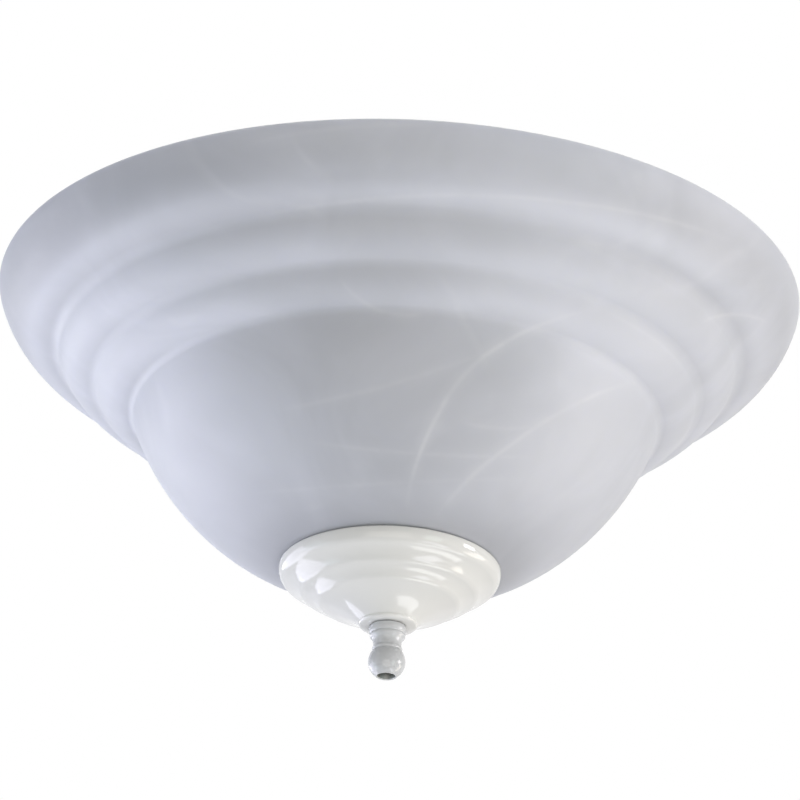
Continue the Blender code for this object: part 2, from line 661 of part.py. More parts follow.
def screw_mesh():
    """A domed screw from inside the tab into the lampholder's back."""
    seat = -BRACKET_SHEET - 2 * CLEARANCE
    dome = arc((SCREW_HEAD_RADIUS, seat), (0, seat - SCREW_HEAD_HEIGHT), CORNER_SHARE, 3)
    outline = [(0, SCREW_BITE), (SCREW_RADIUS, SCREW_BITE), (SCREW_RADIUS, seat)] + dome
    return turned_mesh("lampholder_screw", outline, SCREW_STEPS)


def lamp_tip():
    """Height of a lamp's button in its lampholder's frame."""
    return BASE_RIM - BASE_HEIGHT - INSULATOR_HEIGHT - BUTTON_HEIGHT


def base_mesh():
    """A candelabra base: an open cup round the neck, threaded outside, with a hole in its foot."""
    foot = BASE_RIM - BASE_HEIGHT
    neck_seat = BASE_RIM - BULB_NECK - CLEARANCE
    outline = thread_curve(BASE_RADIUS, BASE_RIM, THREAD_TURNS)
    outline += [(BASE_RADIUS - BASE_FOOT, foot), (BUTTON_RADIUS + CLEARANCE, foot)]
    outline += [(BUTTON_RADIUS + CLEARANCE, foot + BASE_WALL), (BASE_BORE_RADIUS, neck_seat)]
    outline += [(BASE_BORE_RADIUS, BASE_RIM)]
    return turned_mesh("bulb_base", outline, LAMP_STEPS)


def insulator_mesh():
    """The insulated end of a lamp, with its contact button and a spigot into the base."""
    foot = BASE_RIM - BASE_HEIGHT
    under = foot - CLEARANCE
    low = under - INSULATOR_HEIGHT + CLEARANCE
    outline = [(0, foot + BASE_WALL), (BUTTON_RADIUS, foot + BASE_WALL), (BUTTON_RADIUS, under)]
    outline += [(BASE_RADIUS - BASE_FOOT, under), (BUTTON_RADIUS, low)]
    outline += [(BUTTON_RADIUS * BUTTON_FACE_SHARE, lamp_tip()), (0, lamp_tip())]
    return turned_mesh("bulb_contact", outline, SCREW_STEPS)


def bulb_curve(inset, steps):
    """A torpedo envelope's outline from its neck to its tip, drawn in by an inset."""
    neck = BASE_BORE_RADIUS - CLEARANCE - inset
    belly = BULB_RADIUS - inset
    tip = BASE_RIM + BULB_LENGTH - inset
    belly_height = BASE_RIM + BULB_LENGTH * BULB_BELLY_SHARE
    swell = BULB_LENGTH * BULB_SWELL_SHARE
    points = [(neck, BASE_RIM - BULB_NECK)]
    points += bezier((neck, BASE_RIM), (neck, BASE_RIM + swell), (belly, belly_height - swell),
                     (belly, belly_height), steps)
    points += bezier((belly, belly_height), (belly, belly_height + BULB_LENGTH * BULB_TAPER_SHARE),
                     (belly * BULB_TIP_SHARE, tip), (0, tip), steps)[1:]
    return points


def bulb_mesh():
    """A blown envelope, open at its neck."""
    return turned_mesh("bulb_glass", bulb_curve(0, BULB_ARC_STEPS) + bulb_curve(BULB_WALL, BULB_INSIDE_STEPS)[::-1], LAMP_STEPS)


def build_lamps():
    """Three lampholders with their lamps, each on its own axis."""
    body = holder_mesh()
    lead_hole = cylinder_mesh("lead_hole", LEAD_RADIUS + CLEARANCE, -CUT_OVERRUN,
                              HOLDER_FLOOR + CUT_OVERRUN, SCREW_STEPS)
    for number, azimuth in enumerate(LAMP_AZIMUTHS, 1):
        holder_axis = carrier("lampholder_%d_axis" % number, None, lamp_matrix(azimuth))
        lamp_axis = carrier("lamp_%d_turn" % number, holder_axis)
        holder = piece("lampholder_%d" % number, body.copy(), "holder_moulding", holder_axis)
        for side in (-1, 1):
            place = Matrix.Translation((0, side * LEAD_OFFSET, 0))
            name = "lead_hole_%d_%s" % (number, "black" if side < 0 else "white")
            combine(holder, cutter(name, lead_hole, holder_axis, place), 'DIFFERENCE')
        piece("screw_shell_%d" % number, shell_mesh(), "brass", holder_axis)
        piece("centre_contact_%d" % number, contact_mesh(), "brass", holder_axis)
        piece("lampholder_screw_%d" % number, screw_mesh(), "zinc_plate", holder_axis)
        piece("bulb_base_%d" % number, base_mesh(), "brass", lamp_axis)
        piece("bulb_contact_%d" % number, insulator_mesh(), "lamp_insulator", lamp_axis)
        piece("bulb_glass_%d" % number, bulb_mesh(), "lamp_glass", lamp_axis)


def connector_mesh():
    """A twist-on connector: a tapered cap with a bore for three leads, mouth down."""
    top = CONNECTOR_LENGTH
    bore_top = CONNECTOR_BORE_DEPTH
    crown = arc((CONNECTOR_TOP_RADIUS, top - CONNECTOR_TOP_RADIUS / 2), (0, top), CORNER_SHARE, 3)
    outline = [(CONNECTOR_BORE_RADIUS, bore_top), (0, bore_top)] + crown[::-1]
    outline += [(CONNECTOR_RADIUS, 0), (CONNECTOR_BORE_RADIUS, 0)]
    return turned_mesh("connector", outline, PIPE_STEPS)


def around(radius, azimuth, height):
    """A point at a radius, azimuth and height about the rod."""
    return Vector((radius * math.cos(azimuth), radius * math.sin(azimuth), height))


def smooth_route(points):
    """An even, smooth curve through a route's own points."""
    padded = [2 * points[0] - points[1]] + points + [2 * points[-1] - points[-2]]
    handles = []
    for before, point, after in zip(padded, points, padded[2:]):
        reach = min((point - before).length, (after - point).length) / 3
        handles.append((after - before).normalized() * reach)
    route = []
    for index in range(len(points) - 1):
        start = points[index]
        end = points[index + 1]
        steps = max(1, round((end - start).length / LEAD_SPACING))
        curve = interpolate_bezier(start, start + handles[index], end - handles[index + 1], end, steps + 1)
        route += curve[:-1]
    return route + [points[-1]]


def lead_route(azimuth, side, lane, place):
    """A lead's own points: out of its lampholder, up past the arm, round its lane, into a connector."""
    frame = lamp_matrix(azimuth)
    lane_radius, lane_height = lane
    start = azimuth + side * RISER_ANGLE
    sweep = (place - start + math.pi) % math.tau - math.pi
    turning = math.copysign(1, sweep)
    points = [frame @ Vector((0, side * LEAD_OFFSET, LEAD_SEAT)),
              frame @ Vector((0, side * LEAD_OFFSET, -LEAD_STRAIGHT)),
              around(RISER_RADIUS, start, (BRACKET_BOTTOM + frame.translation.z) / 2),
              around(RISER_RADIUS, start, BRACKET_TOP)]
    turns = max(1, round(abs(sweep) / LANE_STEP))
    for index in range(1, turns):
        points.append(around(lane_radius, start + sweep * index / turns, lane_height))
    slot_turn = math.pi if abs(sweep) > math.pi / 2 else -turning * math.pi / 3
    slot = around(CONNECTOR_PLACE, place, 0) + around(SLOT_RADIUS, place + slot_turn, 0)
    approach_radius = (lane_radius + slot.length) / 2
    points.append(around(approach_radius, place - turning * APPROACH_ANGLE, lane_height))
    for height in (-LEAD_STRAIGHT, -CLEARANCE, LEAD_BITE):
        points.append(slot + Vector((0, 0, CONNECTOR_MOUTH + height)))
    return points


def build_lead(name, finish, route):
    """A round lead along a smooth curve through its route."""
    curve = bpy.data.curves.new(name, 'CURVE')
    curve.dimensions = '3D'
    curve.bevel_depth = LEAD_RADIUS
    curve.bevel_resolution = 2
    curve.use_fill_caps = True
    points = smooth_route(route)
    spline = curve.splines.new('POLY')
    spline.points.add(len(points) - 1)
    for spot, point in zip(spline.points, points):
        spot.co = (*point, 1)
    piece(name, curve, finish)


def build_wiring():
    """Each lampholder's two leads, and the connector in the pan that joins those of a colour."""
    runs = [("black", "black_insulation", -1, BLACK_AZIMUTH, [NEAR_LANE, BLACK_FAR_LANE, MIDDLE_LANE]),
            ("white", "white_insulation", 1, WHITE_AZIMUTH, [NEAR_LANE, MIDDLE_LANE, WHITE_FAR_LANE])]
    for colour, finish, side, place, lanes in runs:
        for number, azimuth in enumerate(LAMP_AZIMUTHS, 1):
            route = lead_route(azimuth, side, lanes[number - 1], place)
            build_lead("%s_lead_%d" % (colour, number), finish, route)
        connector = piece(colour + "_connector", connector_mesh(), "orange_cap")
        connector.location = around(CONNECTOR_PLACE, place, CONNECTOR_MOUTH)


def build():
    clear_scene()
    build_fitter_pan()
    build_lock_washer("housing_washer", HOUSING_PLATE + CLEARANCE)
    build_nut("housing_nut", HOUSING_PLATE + LOCK_WASHER_THICKNESS + 2 * CLEARANCE)
    build_lock_washer("pan_washer", PAN_WASHER_BOTTOM)
    build_nut("pan_nut", PAN_NUT_BOTTOM)
    build_pipe("mounting_nipple", NIPPLE_BOTTOM, NIPPLE_REACH)
    build_hickey()
    build_socket_bracket()
    build_lock_washer("bracket_washer", BRACKET_WASHER_BOTTOM)
    build_nut("bracket_nut", BRACKET_NUT_BOTTOM)
    build_lamps()
    build_wiring()
    build_pipe("center_rod", finial_top() - FINIAL_THREAD_DEPTH + ROD_END_GAP, ROD_TOP)
    build_round_washer("stop_washer", STOP_WASHER_BOTTOM, STOP_WASHER_THICKNESS, "zinc_plate")
    build_nut("stop_nut", STOP_NUT_BOTTOM)
    bowl_slide = carrier("bowl_slide")
    build_glass_bowl(bowl_slide)
    build_round_washer("glass_washer", GLASS_WASHER_BOTTOM, GLASS_WASHER_THICKNESS, "rubber", bowl_slide)
    cap_slide = carrier("cap_slide", bowl_slide)
    build_bottom_cap(cap_slide)
    build_cap_gasket(cap_slide)
    build_finial(carrier("finial_turn", cap_slide))


build()
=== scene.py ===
"""Looks of the bowl light kit: fine surfaces, materials, floor, lights and the camera.

Every fine piece is made from the same sizes as its solid, in metres. Heights are measured from
the fitter pan's seating face, and the rod is on the Z axis.
"""

import math

import bmesh
import bpy
from mathutils import Matrix, Vector
from mathutils.geometry import interpolate_bezier


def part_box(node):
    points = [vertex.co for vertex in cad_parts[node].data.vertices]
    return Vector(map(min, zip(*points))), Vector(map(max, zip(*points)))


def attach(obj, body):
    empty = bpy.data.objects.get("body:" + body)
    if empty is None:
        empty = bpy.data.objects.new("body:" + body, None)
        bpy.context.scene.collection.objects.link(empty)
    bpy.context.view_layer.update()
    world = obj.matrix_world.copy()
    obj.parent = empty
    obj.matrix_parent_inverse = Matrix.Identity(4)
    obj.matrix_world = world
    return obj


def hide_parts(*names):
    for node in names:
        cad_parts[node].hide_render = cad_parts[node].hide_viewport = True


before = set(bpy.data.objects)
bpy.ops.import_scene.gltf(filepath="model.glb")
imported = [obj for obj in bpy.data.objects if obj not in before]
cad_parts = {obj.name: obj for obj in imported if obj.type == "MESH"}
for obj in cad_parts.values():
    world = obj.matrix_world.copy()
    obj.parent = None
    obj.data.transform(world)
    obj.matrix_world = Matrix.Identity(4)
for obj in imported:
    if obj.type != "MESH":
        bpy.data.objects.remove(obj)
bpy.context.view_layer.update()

# ---------------- sizes
MERGE_DISTANCE = 0.000002
POLE_RADIUS = 0.0000015
GAP = 0.0003
THREAD_RADIUS = 0.00515
HOLE_RADIUS = THREAD_RADIUS + GAP
BORE_RADIUS = 0.0035
THREAD_STEP = 0.0254 / 27
THREAD_CUT = 0.00042
THREAD_MERGE = 0.00002
NIPPLE_REACH = 0.016
FINIAL_THREAD_DEPTH = 0.0056
FINIAL_HOLE_RADIUS = 0.00362
ROD_END_GAP = 0.0004
WASHER_RADIUS = 0.0135
HICKEY_TOP, HICKEY_BOTTOM = -0.0067, -0.0307
ROD_TOP = -0.0247

RIM_DROP = 0.030
GLASS_WALL = 0.004
BOWL_DEPTH = 0.1236
SEAT_RADIUS = 0.016
GLASS_HOLE_RADIUS = 0.0064
TIERS = [(0.165, 0.0), (0.1396, -0.0268), (0.1238, -0.0422), (0.1077, -0.0543)]
TIER_BULGES = [0.132, 0.128, 0.112]
DOME_HANDLES = [0.0685, 0.361, 0.585]
CREASE_FILLETS = [0.0040, 0.0030, 0.0025]

CAP_SHEET = 0.001
CAP_RADIUS = 0.045
CAP_EDGE = 0.0008
CAP_DEPTH = 0.0251
CAP_STEPS_AT = [(0.0431, -0.0058), (0.0355, -0.0112), (0.0282, -0.0156)]
CAP_LIP_RADIUS = 0.0119

LAMP_AZIMUTHS = [90, 210, 330]
LAMP_TILT = math.radians(6)
BRACKET_SHEET = 0.0015
BRACKET_BOTTOM = -0.0325
BRACKET_TOP = -0.0310
ARM_REACH = 0.0205
TAB_DROP = 0.0112

# ---------------- mesh helpers


def linked(name, data):
    """A new object of the scene."""
    item = bpy.data.objects.new(name, data)
    bpy.context.scene.collection.objects.link(item)
    return item


def add(name, mesh, body, nodes, slot, material, matrix=None):
    """Adds a piece in place, which rides on a body and may stand for CAD nodes."""
    item = linked(name, mesh)
    if matrix is not None:
        item.matrix_world = matrix
    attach(item, body)
    if nodes:
        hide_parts(*nodes)
    mesh.materials.clear()
    mesh.materials.append(material)
    return item


def finished_mesh(name, shape, angle=32):
    bmesh.ops.remove_doubles(shape, verts=shape.verts, dist=MERGE_DISTANCE)
    bmesh.ops.recalc_face_normals(shape, faces=shape.faces)
    mesh = bpy.data.meshes.new(name)
    shape.to_mesh(mesh)
    shape.free()
    mesh.shade_smooth()
    mesh.set_sharp_from_angle(angle=math.radians(angle))
    return mesh


def ring(shape, steps, place):
    """A ring of points about Z; place(turn) gives the radius and height of each."""
    row = []
    for index in range(steps):
        turn = math.tau * index / steps
        radius, height = place(turn)
        row.append(shape.verts.new((radius * math.cos(turn), radius * math.sin(turn), height)))
    return row


def skin(shape, rows, closed=True):
    """Faces from each ring to the next and, when closed, from the last back to the first."""
    for first, second in zip(rows, rows[1:] + rows[:1] if closed else rows[1:]):
        for index in range(len(first)):
            after = (index + 1) % len(first)
            corners = []
            for corner in (first[index], first[after], second[after], second[index]):
                if corner not in corners:
                    corners.append(corner)
            if len(corners) > 2:
                shape.faces.new(corners)


def turned(name, outline, steps, closed=True, angle=32, flute=None):
    """Turns an outline of radius and height pairs about Z.

    A point on the axis is a pole, and flute(turn, radius, height) may shift a radius.
    """
    shape = bmesh.new()
    rows = []
    for radius, height in outline:
        if radius < POLE_RADIUS:
            rows.append([shape.verts.new((0, 0, height))] * steps)
        else:
            rows.append(ring(shape, steps, lambda turn: (flute(turn, radius, height) if flute else radius, height)))
    skin(shape, rows, closed)
    return finished_mesh(name, shape, angle)


def arc(start, end, bulge, steps):
    """A round arc from start to end that stands a share of its chord outward."""
    start, end = Vector(start), Vector(end)
    chord = end - start
    half = 2 * math.atan(2 * abs(bulge))
    radius = chord.length / 2 / math.sin(half)
    outward = Vector((-chord.y, chord.x)).normalized()
    if outward.x < 0:
        outward = -outward
    if bulge < 0:
        outward = -outward
    centre = (start + end) / 2 - outward * radius * math.cos(half)
    points = []
    for index in range(steps + 1):
        turn = half * (2 * index / steps - 1)
        points.append(centre + radius * (chord.normalized() * math.sin(turn) + outward * math.cos(turn)))
    return [tuple(point) for point in points]


def bezier(start, first, second, end, steps):
    corners = [Vector(corner) for corner in (start, first, second, end)]
    return [tuple(point) for point in interpolate_bezier(*corners, steps + 1)]


def lengths(points):
    along = [0.0]
    for before, after in zip(points, points[1:]):
        along.append(along[-1] + (Vector(after) - Vector(before)).length)
    return along


def place_at(points, along, distance):
    for index in range(1, len(points)):
        if along[index] >= distance:
            part = (distance - along[index - 1]) / max(along[index] - along[index - 1], 1e-9)
            return Vector(points[index - 1]).lerp(Vector(points[index]), part)
    return Vector(points[-1])


def joined(runs, reach, steps=5):
    """Joins runs of points end to end, with each corner between two runs rounded over a reach."""
    points = list(runs[0])
    reaches = reach if isinstance(reach, list) else [reach] * (len(runs) - 1)
    for run, reach in zip(runs[1:], reaches):
        corner = Vector(run[0])
        back = lengths(points[::-1])
        here = min(reach, back[-1] * 0.45)
        entry = place_at(points[::-1], back, here)
        kept = [point for point, far in zip(points[::-1], back) if far > here * 1.02][::-1]
        ahead = lengths(run)
        there = min(reach, ahead[-1] * 0.45)
        leave = place_at(run, ahead, there)
        rest = [point for point, far in zip(run, ahead) if far > there * 1.02]
        control_in = entry.lerp(corner, 0.6)
        control_out = leave.lerp(corner, 0.6)
        round_corner = bezier(entry, control_in, control_out, leave, steps)
        points = kept + round_corner + rest
    return [tuple(point) for point in points]


def offset(outline, distance):
    points = [Vector(point) for point in outline]
    normals = []
    for before, after in zip(points, points[1:]):
        run = (after - before).normalized()
        normals.append(Vector((run.y, -run.x)))
    moved = [points[0] + normals[0] * distance]
    for index in range(1, len(points) - 1):
        mitre = normals[index - 1] + normals[index]
        moved.append(points[index] + mitre * 2 * distance / mitre.length_squared)
    moved.append(points[-1] + normals[-1] * distance)
    return [tuple(point) for point in moved]


def shifted(points, height):
    return [(radius, z + height) for radius, z in points]


# ---------------- bowl


def dome_curve(steps):
    radius, top = TIERS[3]
    inset, drop, spread = DOME_HANDLES
    handle = (radius * (1 - inset), top - drop * (BOWL_DEPTH + top))
    end_handle = (SEAT_RADIUS + spread * (radius - SEAT_RADIUS), -BOWL_DEPTH)
    return bezier((radius, top), handle, end_handle, (SEAT_RADIUS, -BOWL_DEPTH), steps)


def dome_height(radius):
    points = dome_curve(400)
    for above, below in zip(points, points[1:]):
        if above[0] >= radius >= below[0]:
            part = (above[0] - radius) / (above[0] - below[0])
            return above[1] + part * (below[1] - above[1]) - RIM_DROP
    return -BOWL_DEPTH - RIM_DROP


def bowl_outside(steps):
    runs = [arc(TIERS[index], TIERS[index + 1], TIER_BULGES[index], steps) for index in range(3)]
    runs.append(dome_curve(steps * 4))
    return joined(runs, CREASE_FILLETS, 10)


def bowl_mesh():
    outside = bowl_outside(22)
    inside = offset(outside, GLASS_WALL)
    clean = [inside[0]]
    for point in inside[1:]:
        if (Vector(point) - Vector(clean[-1])).length > 0.0012:
            clean.append(point)
    inside = [point for point in clean if point[1] < -0.0025]
    lip_out = [(0.1641, 0.0), (0.1648, -0.0003)]
    lip_in = [(0.1606, -0.0018), (0.1609, -0.0006), (0.1616, 0.0)]
    outline = lip_out + [point for point in outside if point[1] < -0.0009]
    outline += [(GLASS_HOLE_RADIUS + 0.0006, -BOWL_DEPTH), (GLASS_HOLE_RADIUS, -BOWL_DEPTH + 0.0006)]
    floor = GLASS_WALL - BOWL_DEPTH
    outline += [(GLASS_HOLE_RADIUS, floor - 0.0006), (GLASS_HOLE_RADIUS + 0.0006, floor), (SEAT_RADIUS, floor)]
    outline += inside[:-1][::-1] + lip_in
    mesh = turned("glass_bowl_fine", outline, 288, angle=60)
    mesh.transform(Matrix.Translation((0, 0, -RIM_DROP)))
    return mesh


# ---------------- cap and finial


def cap_top():
    return dome_height(CAP_RADIUS - CAP_EDGE) - GAP


def cap_outside():
    edge = arc((CAP_RADIUS - CAP_EDGE, 0.0), (CAP_RADIUS, -CAP_EDGE), 0.2, 4)
    band = arc((CAP_RADIUS, -CAP_EDGE), CAP_STEPS_AT[0], 0.09, 12)
    cove_1 = arc(CAP_STEPS_AT[0], CAP_STEPS_AT[1], -0.07, 14)
    cove_2 = arc(CAP_STEPS_AT[1], CAP_STEPS_AT[2], -0.07, 12)
    flare = arc(CAP_STEPS_AT[2], (CAP_LIP_RADIUS, -CAP_DEPTH + 0.0014), -0.05, 26)
    lip = arc((CAP_LIP_RADIUS, -CAP_DEPTH + 0.0014), (CAP_LIP_RADIUS - 0.0009, -CAP_DEPTH), 0.2, 5)
    body = joined([edge + band[1:], cove_1, cove_2, flare], 0.0014, 6)
    return body + lip[1:]


def cap_mesh():
    outside = cap_outside()
    inside = offset(outside, CAP_SHEET)
    inside = [point for point in inside if point[1] < -0.0008 and point[0] > CAP_LIP_RADIUS - 0.0007]
    outline = outside + [(HOLE_RADIUS + 0.0003, -CAP_DEPTH), (HOLE_RADIUS, -CAP_DEPTH + 0.0003)]
    outline += [(HOLE_RADIUS, CAP_SHEET - CAP_DEPTH)] + inside[::-1]
    return turned("bottom_cap_fine", shifted(outline, cap_top()), 192, angle=50)


def gasket_mesh():
    """A rubber ring with a lip, squeezed between the glass and the foot of the cap's band."""
    low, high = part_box("cap_gasket")
    outer, inner = high.x, high.x - 0.005
    edge = 0.0004
    top = [(radius, dome_height(radius) - GAP) for radius in (inner + edge, (inner + outer) / 2, outer - edge)]
    outline = [(inner, low.z + edge), (inner + edge, low.z), (outer - edge, low.z), (outer, low.z + edge)]
    outline += [(outer, top[2][1] - edge), *top[::-1], (inner, top[0][1] - edge)]
    return turned("cap_gasket_fine", outline, 144)


def finial_top():
    return cap_top() - CAP_DEPTH - GAP


def finial_outside():
    ball, waist, wide, low = 0.0075, 0.0058, 0.0063, -0.0031
    neck_top, bead_top, ball_top = -0.0053, -0.0089, -0.0103
    collar = joined([arc((0.00725, 0.0), (0.00725, low), 0.129, 10),
                     arc((0.0069, low), (wide, neck_top), 0.22, 8)], 0.0002, 3)
    neck = arc((wide, neck_top), (waist, bead_top), -0.08, 8)
    bead = arc((waist, bead_top), (waist, ball_top), 0.23, 8)
    centre = ball_top - math.sqrt(ball ** 2 - waist ** 2)
    start = math.asin(waist / ball)
    end = math.pi - math.asin(0.0041 / ball)
    sphere = []
    for index in range(25):
        turn = start + (end - start) * index / 24
        sphere.append((ball * math.sin(turn), centre + ball * math.cos(turn)))
    points = joined([collar, neck, bead, sphere], 0.00035, 3)
    foot = points[-1][1]
    return points + [(0.0038, foot + 0.00005), (FINIAL_HOLE_RADIUS, foot + 0.0004)]


def finial_mesh():
    outline = finial_outside()
    foot, edge = -FINIAL_THREAD_DEPTH, 0.0003
    outline += [(FINIAL_HOLE_RADIUS, foot), (HOLE_RADIUS, foot), (HOLE_RADIUS, -edge), (HOLE_RADIUS + edge, 0.0)]
    return turned("finial_fine", shifted(outline, finial_top()), 96, angle=40)


# ---------------- hardware


def threaded_tube(name, low, high, steps=40):
    """A hollow rod with a helical rolled thread and chamfered ends."""
    shape = bmesh.new()
    root, crest = THREAD_RADIUS - THREAD_CUT, THREAD_RADIUS
    end_radius = root - 0.0002
    profile = [(root, 0.0), (root, 0.12), (crest, 0.46), (crest, 0.6), (root, 0.94)]
    chamfer = 0.0007
    turns = int((high - low) / THREAD_STEP) + 3
    columns = []
    for index in range(turns * steps + 1):
        turn = math.tau * index / steps
        base = low - THREAD_STEP + THREAD_STEP * index / steps
        column = []
        for radius, share in profile + [(root, 1.0)]:
            z = min(max(base + share * THREAD_STEP, low), high)
            limit = end_radius + min(z - low, high - z, chamfer)
            across = min(radius, max(limit, end_radius))
            column.append(shape.verts.new((across * math.cos(turn), across * math.sin(turn), z)))
        columns.append(column)
    for first, second in zip(columns, columns[1:]):
        for index in range(len(profile)):
            shape.faces.new((first[index], second[index], second[index + 1], first[index + 1]))
    bmesh.ops.remove_doubles(shape, verts=shape.verts, dist=THREAD_MERGE)
    ends = ((end_radius, low), (BORE_RADIUS, low), (BORE_RADIUS, high), (end_radius, high))
    skin(shape, [ring(shape, steps, lambda turn: end) for end in ends], closed=False)
    bmesh.ops.remove_doubles(shape, verts=shape.verts, dist=THREAD_MERGE)
    bmesh.ops.dissolve_degenerate(shape, edges=shape.edges, dist=THREAD_MERGE / 2)
    return finished_mesh(name, shape, 35)


def nut_mesh(name, low, flats=0.0143, height=0.004, steps=72):
    """A hexagon nut with its corners chamfered round on both faces."""
    face, bore, edge = flats / 2 - 0.0002, HOLE_RADIUS, 0.0004
    def outline(turn):
        outer = flats / 2 / math.cos((turn % (math.pi / 3)) - math.pi / 6)
        fall = max(outer - face, 0.0) * 0.55
        places = [(bore + edge, 0.0), (face, 0.0), (outer, fall), (outer, height - fall),
                  (face, height), (bore + edge, height), (bore, height - edge), (bore, edge)]
        return [(radius, z + low) for radius, z in places]
    shape = bmesh.new()
    skin(shape, [ring(shape, steps, lambda turn: outline(turn)[kind]) for kind in range(8)])
    return finished_mesh(name, shape, 24)


def tooth_washer_mesh(name, low, radius=0.0086, thickness=0.0008, teeth=14):
    """A lock washer with teeth that are twisted out of its plane."""
    per_tooth, share = 8, 0.62
    steps = teeth * per_tooth
    shape = bmesh.new()
    rows = [[] for _ in range(8)]
    for index in range(steps):
        turn = math.tau * index / steps
        phase = (index % per_tooth) / per_tooth
        tooth = phase < share
        outer = radius if tooth else radius - 0.0016
        middle = radius - 0.0018
        lean = (phase / share - 0.5) * thickness * 0.9 if tooth else 0.0
        sheet = thickness * 0.55
        base = thickness * 0.225
        spots = [(HOLE_RADIUS, base), (middle, base), (outer - 0.0002, base + lean), (outer, base + lean + 0.0001),
                 (outer, base + lean + sheet - 0.0001), (outer - 0.0002, base + lean + sheet),
                 (middle, base + sheet), (HOLE_RADIUS, base + sheet)]
        for row, (across, z) in zip(rows, spots):
            z = min(max(z, 0.0), thickness)
            row.append(shape.verts.new((across * math.cos(turn), across * math.sin(turn), z + low)))
    skin(shape, rows)
    return finished_mesh(name, shape, 28)


def ring_outline(inner, outer, low, high, edge):
    return [(inner, low + edge), (inner + edge, low), (outer - edge, low), (outer - edge * 0.3, low + edge * 0.3),
            (outer, low + edge), (outer, high - edge), (outer - edge * 0.3, high - edge * 0.3),
            (outer - edge, high), (inner + edge, high), (inner, high - edge)]


def cut(name, mesh, tools, bevel=0.0, union=()):
    """A mesh with tools joined in or cut out and its edges bevelled, as one plain mesh."""
    item = linked(name + "_work", mesh)
    helpers = []
    for operation, group in (('UNION', union), ('DIFFERENCE', tools)):
        for tool_mesh, matrix in group:
            helper = linked("helper", tool_mesh)
            helper.matrix_world = matrix
            helpers.append(helper)
            modifier = item.modifiers.new("cut", 'BOOLEAN')
            modifier.operation = operation
            modifier.solver = 'EXACT'
            modifier.object = helper
    if bevel:
        modifier = item.modifiers.new("bevel", 'BEVEL')
        modifier.width = bevel
        modifier.segments = 3
        modifier.limit_method = 'ANGLE'
        modifier.angle_limit = math.radians(40)
        modifier.use_clamp_overlap = True
    bpy.context.view_layer.update()
    made = bpy.data.meshes.new_from_object(item.evaluated_get(bpy.context.evaluated_depsgraph_get()))
    made.name = name
    for helper in helpers + [item]:
        bpy.data.objects.remove(helper)
    made.shade_smooth()
    made.set_sharp_from_angle(angle=math.radians(36))
    return made


def extruded(name, outline, width):
    """A bar across Y from a closed outline of X and Z pairs."""
    shape = bmesh.new()
    sides = [[shape.verts.new((x, y, z)) for x, z in outline] for y in (-width / 2, width / 2)]
    shape.faces.new(sides[0])
    shape.faces.new(sides[1])
    for index in range(len(outline)):
        shape.faces.new((sides[0][index - 1], sides[0][index], sides[1][index], sides[1][index - 1]))
    return finished_mesh(name, shape)


def hickey_mesh():
    """A cast body: two bosses joined by two side walls with a rounded window between them."""
    low, high = HICKEY_BOTTOM, HICKEY_TOP
    outline = [(HOLE_RADIUS, low + 0.0005), (HOLE_RADIUS + 0.0005, low)]
    outline += arc((0.0088, low), (0.0095, low + 0.0007), 0.2, 3) + [(0.0095, low + 0.0046)]
    outline += arc((0.0095, low + 0.0046), (0.0095, high - 0.0046), -0.02, 10)[1:]
    outline += arc((0.0095, high - 0.0007), (0.0088, high), 0.2, 3)
    outline += [(HOLE_RADIUS + 0.0005, high), (HOLE_RADIUS, high - 0.0005)]
    body = turned("hickey_body", outline, 72)
    half, bottom, top, round_off = 0.00625, -0.0247, -0.0127, 0.0016
    window = []
    for x, z, start in ((half, top, 0), (-half, top, 90), (-half, bottom, 180), (half, bottom, 270)):
        sx, sz = math.copysign(round_off, x), math.copysign(round_off, z - (bottom + top) / 2)
        for step in range(5):
            turn = math.radians(start + 90 * step / 4)
            window.append((x - sx + round_off * math.cos(turn), z - sz + round_off * math.sin(turn)))
    slot = extruded("hickey_slot", window, 0.03)
    return cut("hickey_fine", body, [(slot, Matrix.Identity(4))], 0.0003)


def lamp_matrix(azimuth):
    stand = BRACKET_SHEET + GAP
    reach = ARM_REACH - TAB_DROP * math.sin(LAMP_TILT) + stand * math.cos(LAMP_TILT)
    height = BRACKET_BOTTOM - TAB_DROP * math.cos(LAMP_TILT) - stand * math.sin(LAMP_TILT)
    turn = Matrix.Rotation(math.radians(azimuth), 4, 'Z')
    return turn @ Matrix.Translation((reach, 0, height)) @ Matrix.Rotation(math.pi / 2 + LAMP_TILT, 4, 'Y')


def bracket_mesh():
    """Hub and three arms of bent plate, with the outer faces of each bend rounded."""
    low, high = BRACKET_BOTTOM, BRACKET_TOP
    hub = turned("hub", ring_outline(HOLE_RADIUS, 0.0125, low, high, 0.0002), 72)
    down = Vector((-math.sin(LAMP_TILT), -math.cos(LAMP_TILT)))
    out = Vector((math.cos(LAMP_TILT), -math.sin(LAMP_TILT)))
    corner = Vector((ARM_REACH, low))
    foot = corner + down * (TAB_DROP + 0.0045)
    outer = Vector((ARM_REACH + BRACKET_SHEET / math.cos(LAMP_TILT), high))
    run = BRACKET_SHEET * 1.2
    along, near, root = Vector((1, 0)), run * 0.45, 0.0088
    bend = bezier(outer - along * run, outer - along * near, outer + down * near, outer + down * run, 6)
    outline = [(root, high)] + bend + [tuple(foot + out * BRACKET_SHEET), tuple(foot), tuple(corner), (root, low)]
    arm = extruded("arm", outline, 0.008)
    hole = turned("hole", [(0, 0.004), (0.0019, 0.004), (0.0019, -0.004), (0, -0.004)], 32, closed=False)
    arms = [(arm, Matrix.Rotation(math.radians(azimuth), 4, 'Z')) for azimuth in LAMP_AZIMUTHS]
    holes = [(hole, lamp_matrix(azimuth)) for azimuth in LAMP_AZIMUTHS]
    return cut("socket_bracket_fine", hub, holes, 0.00025, arms)


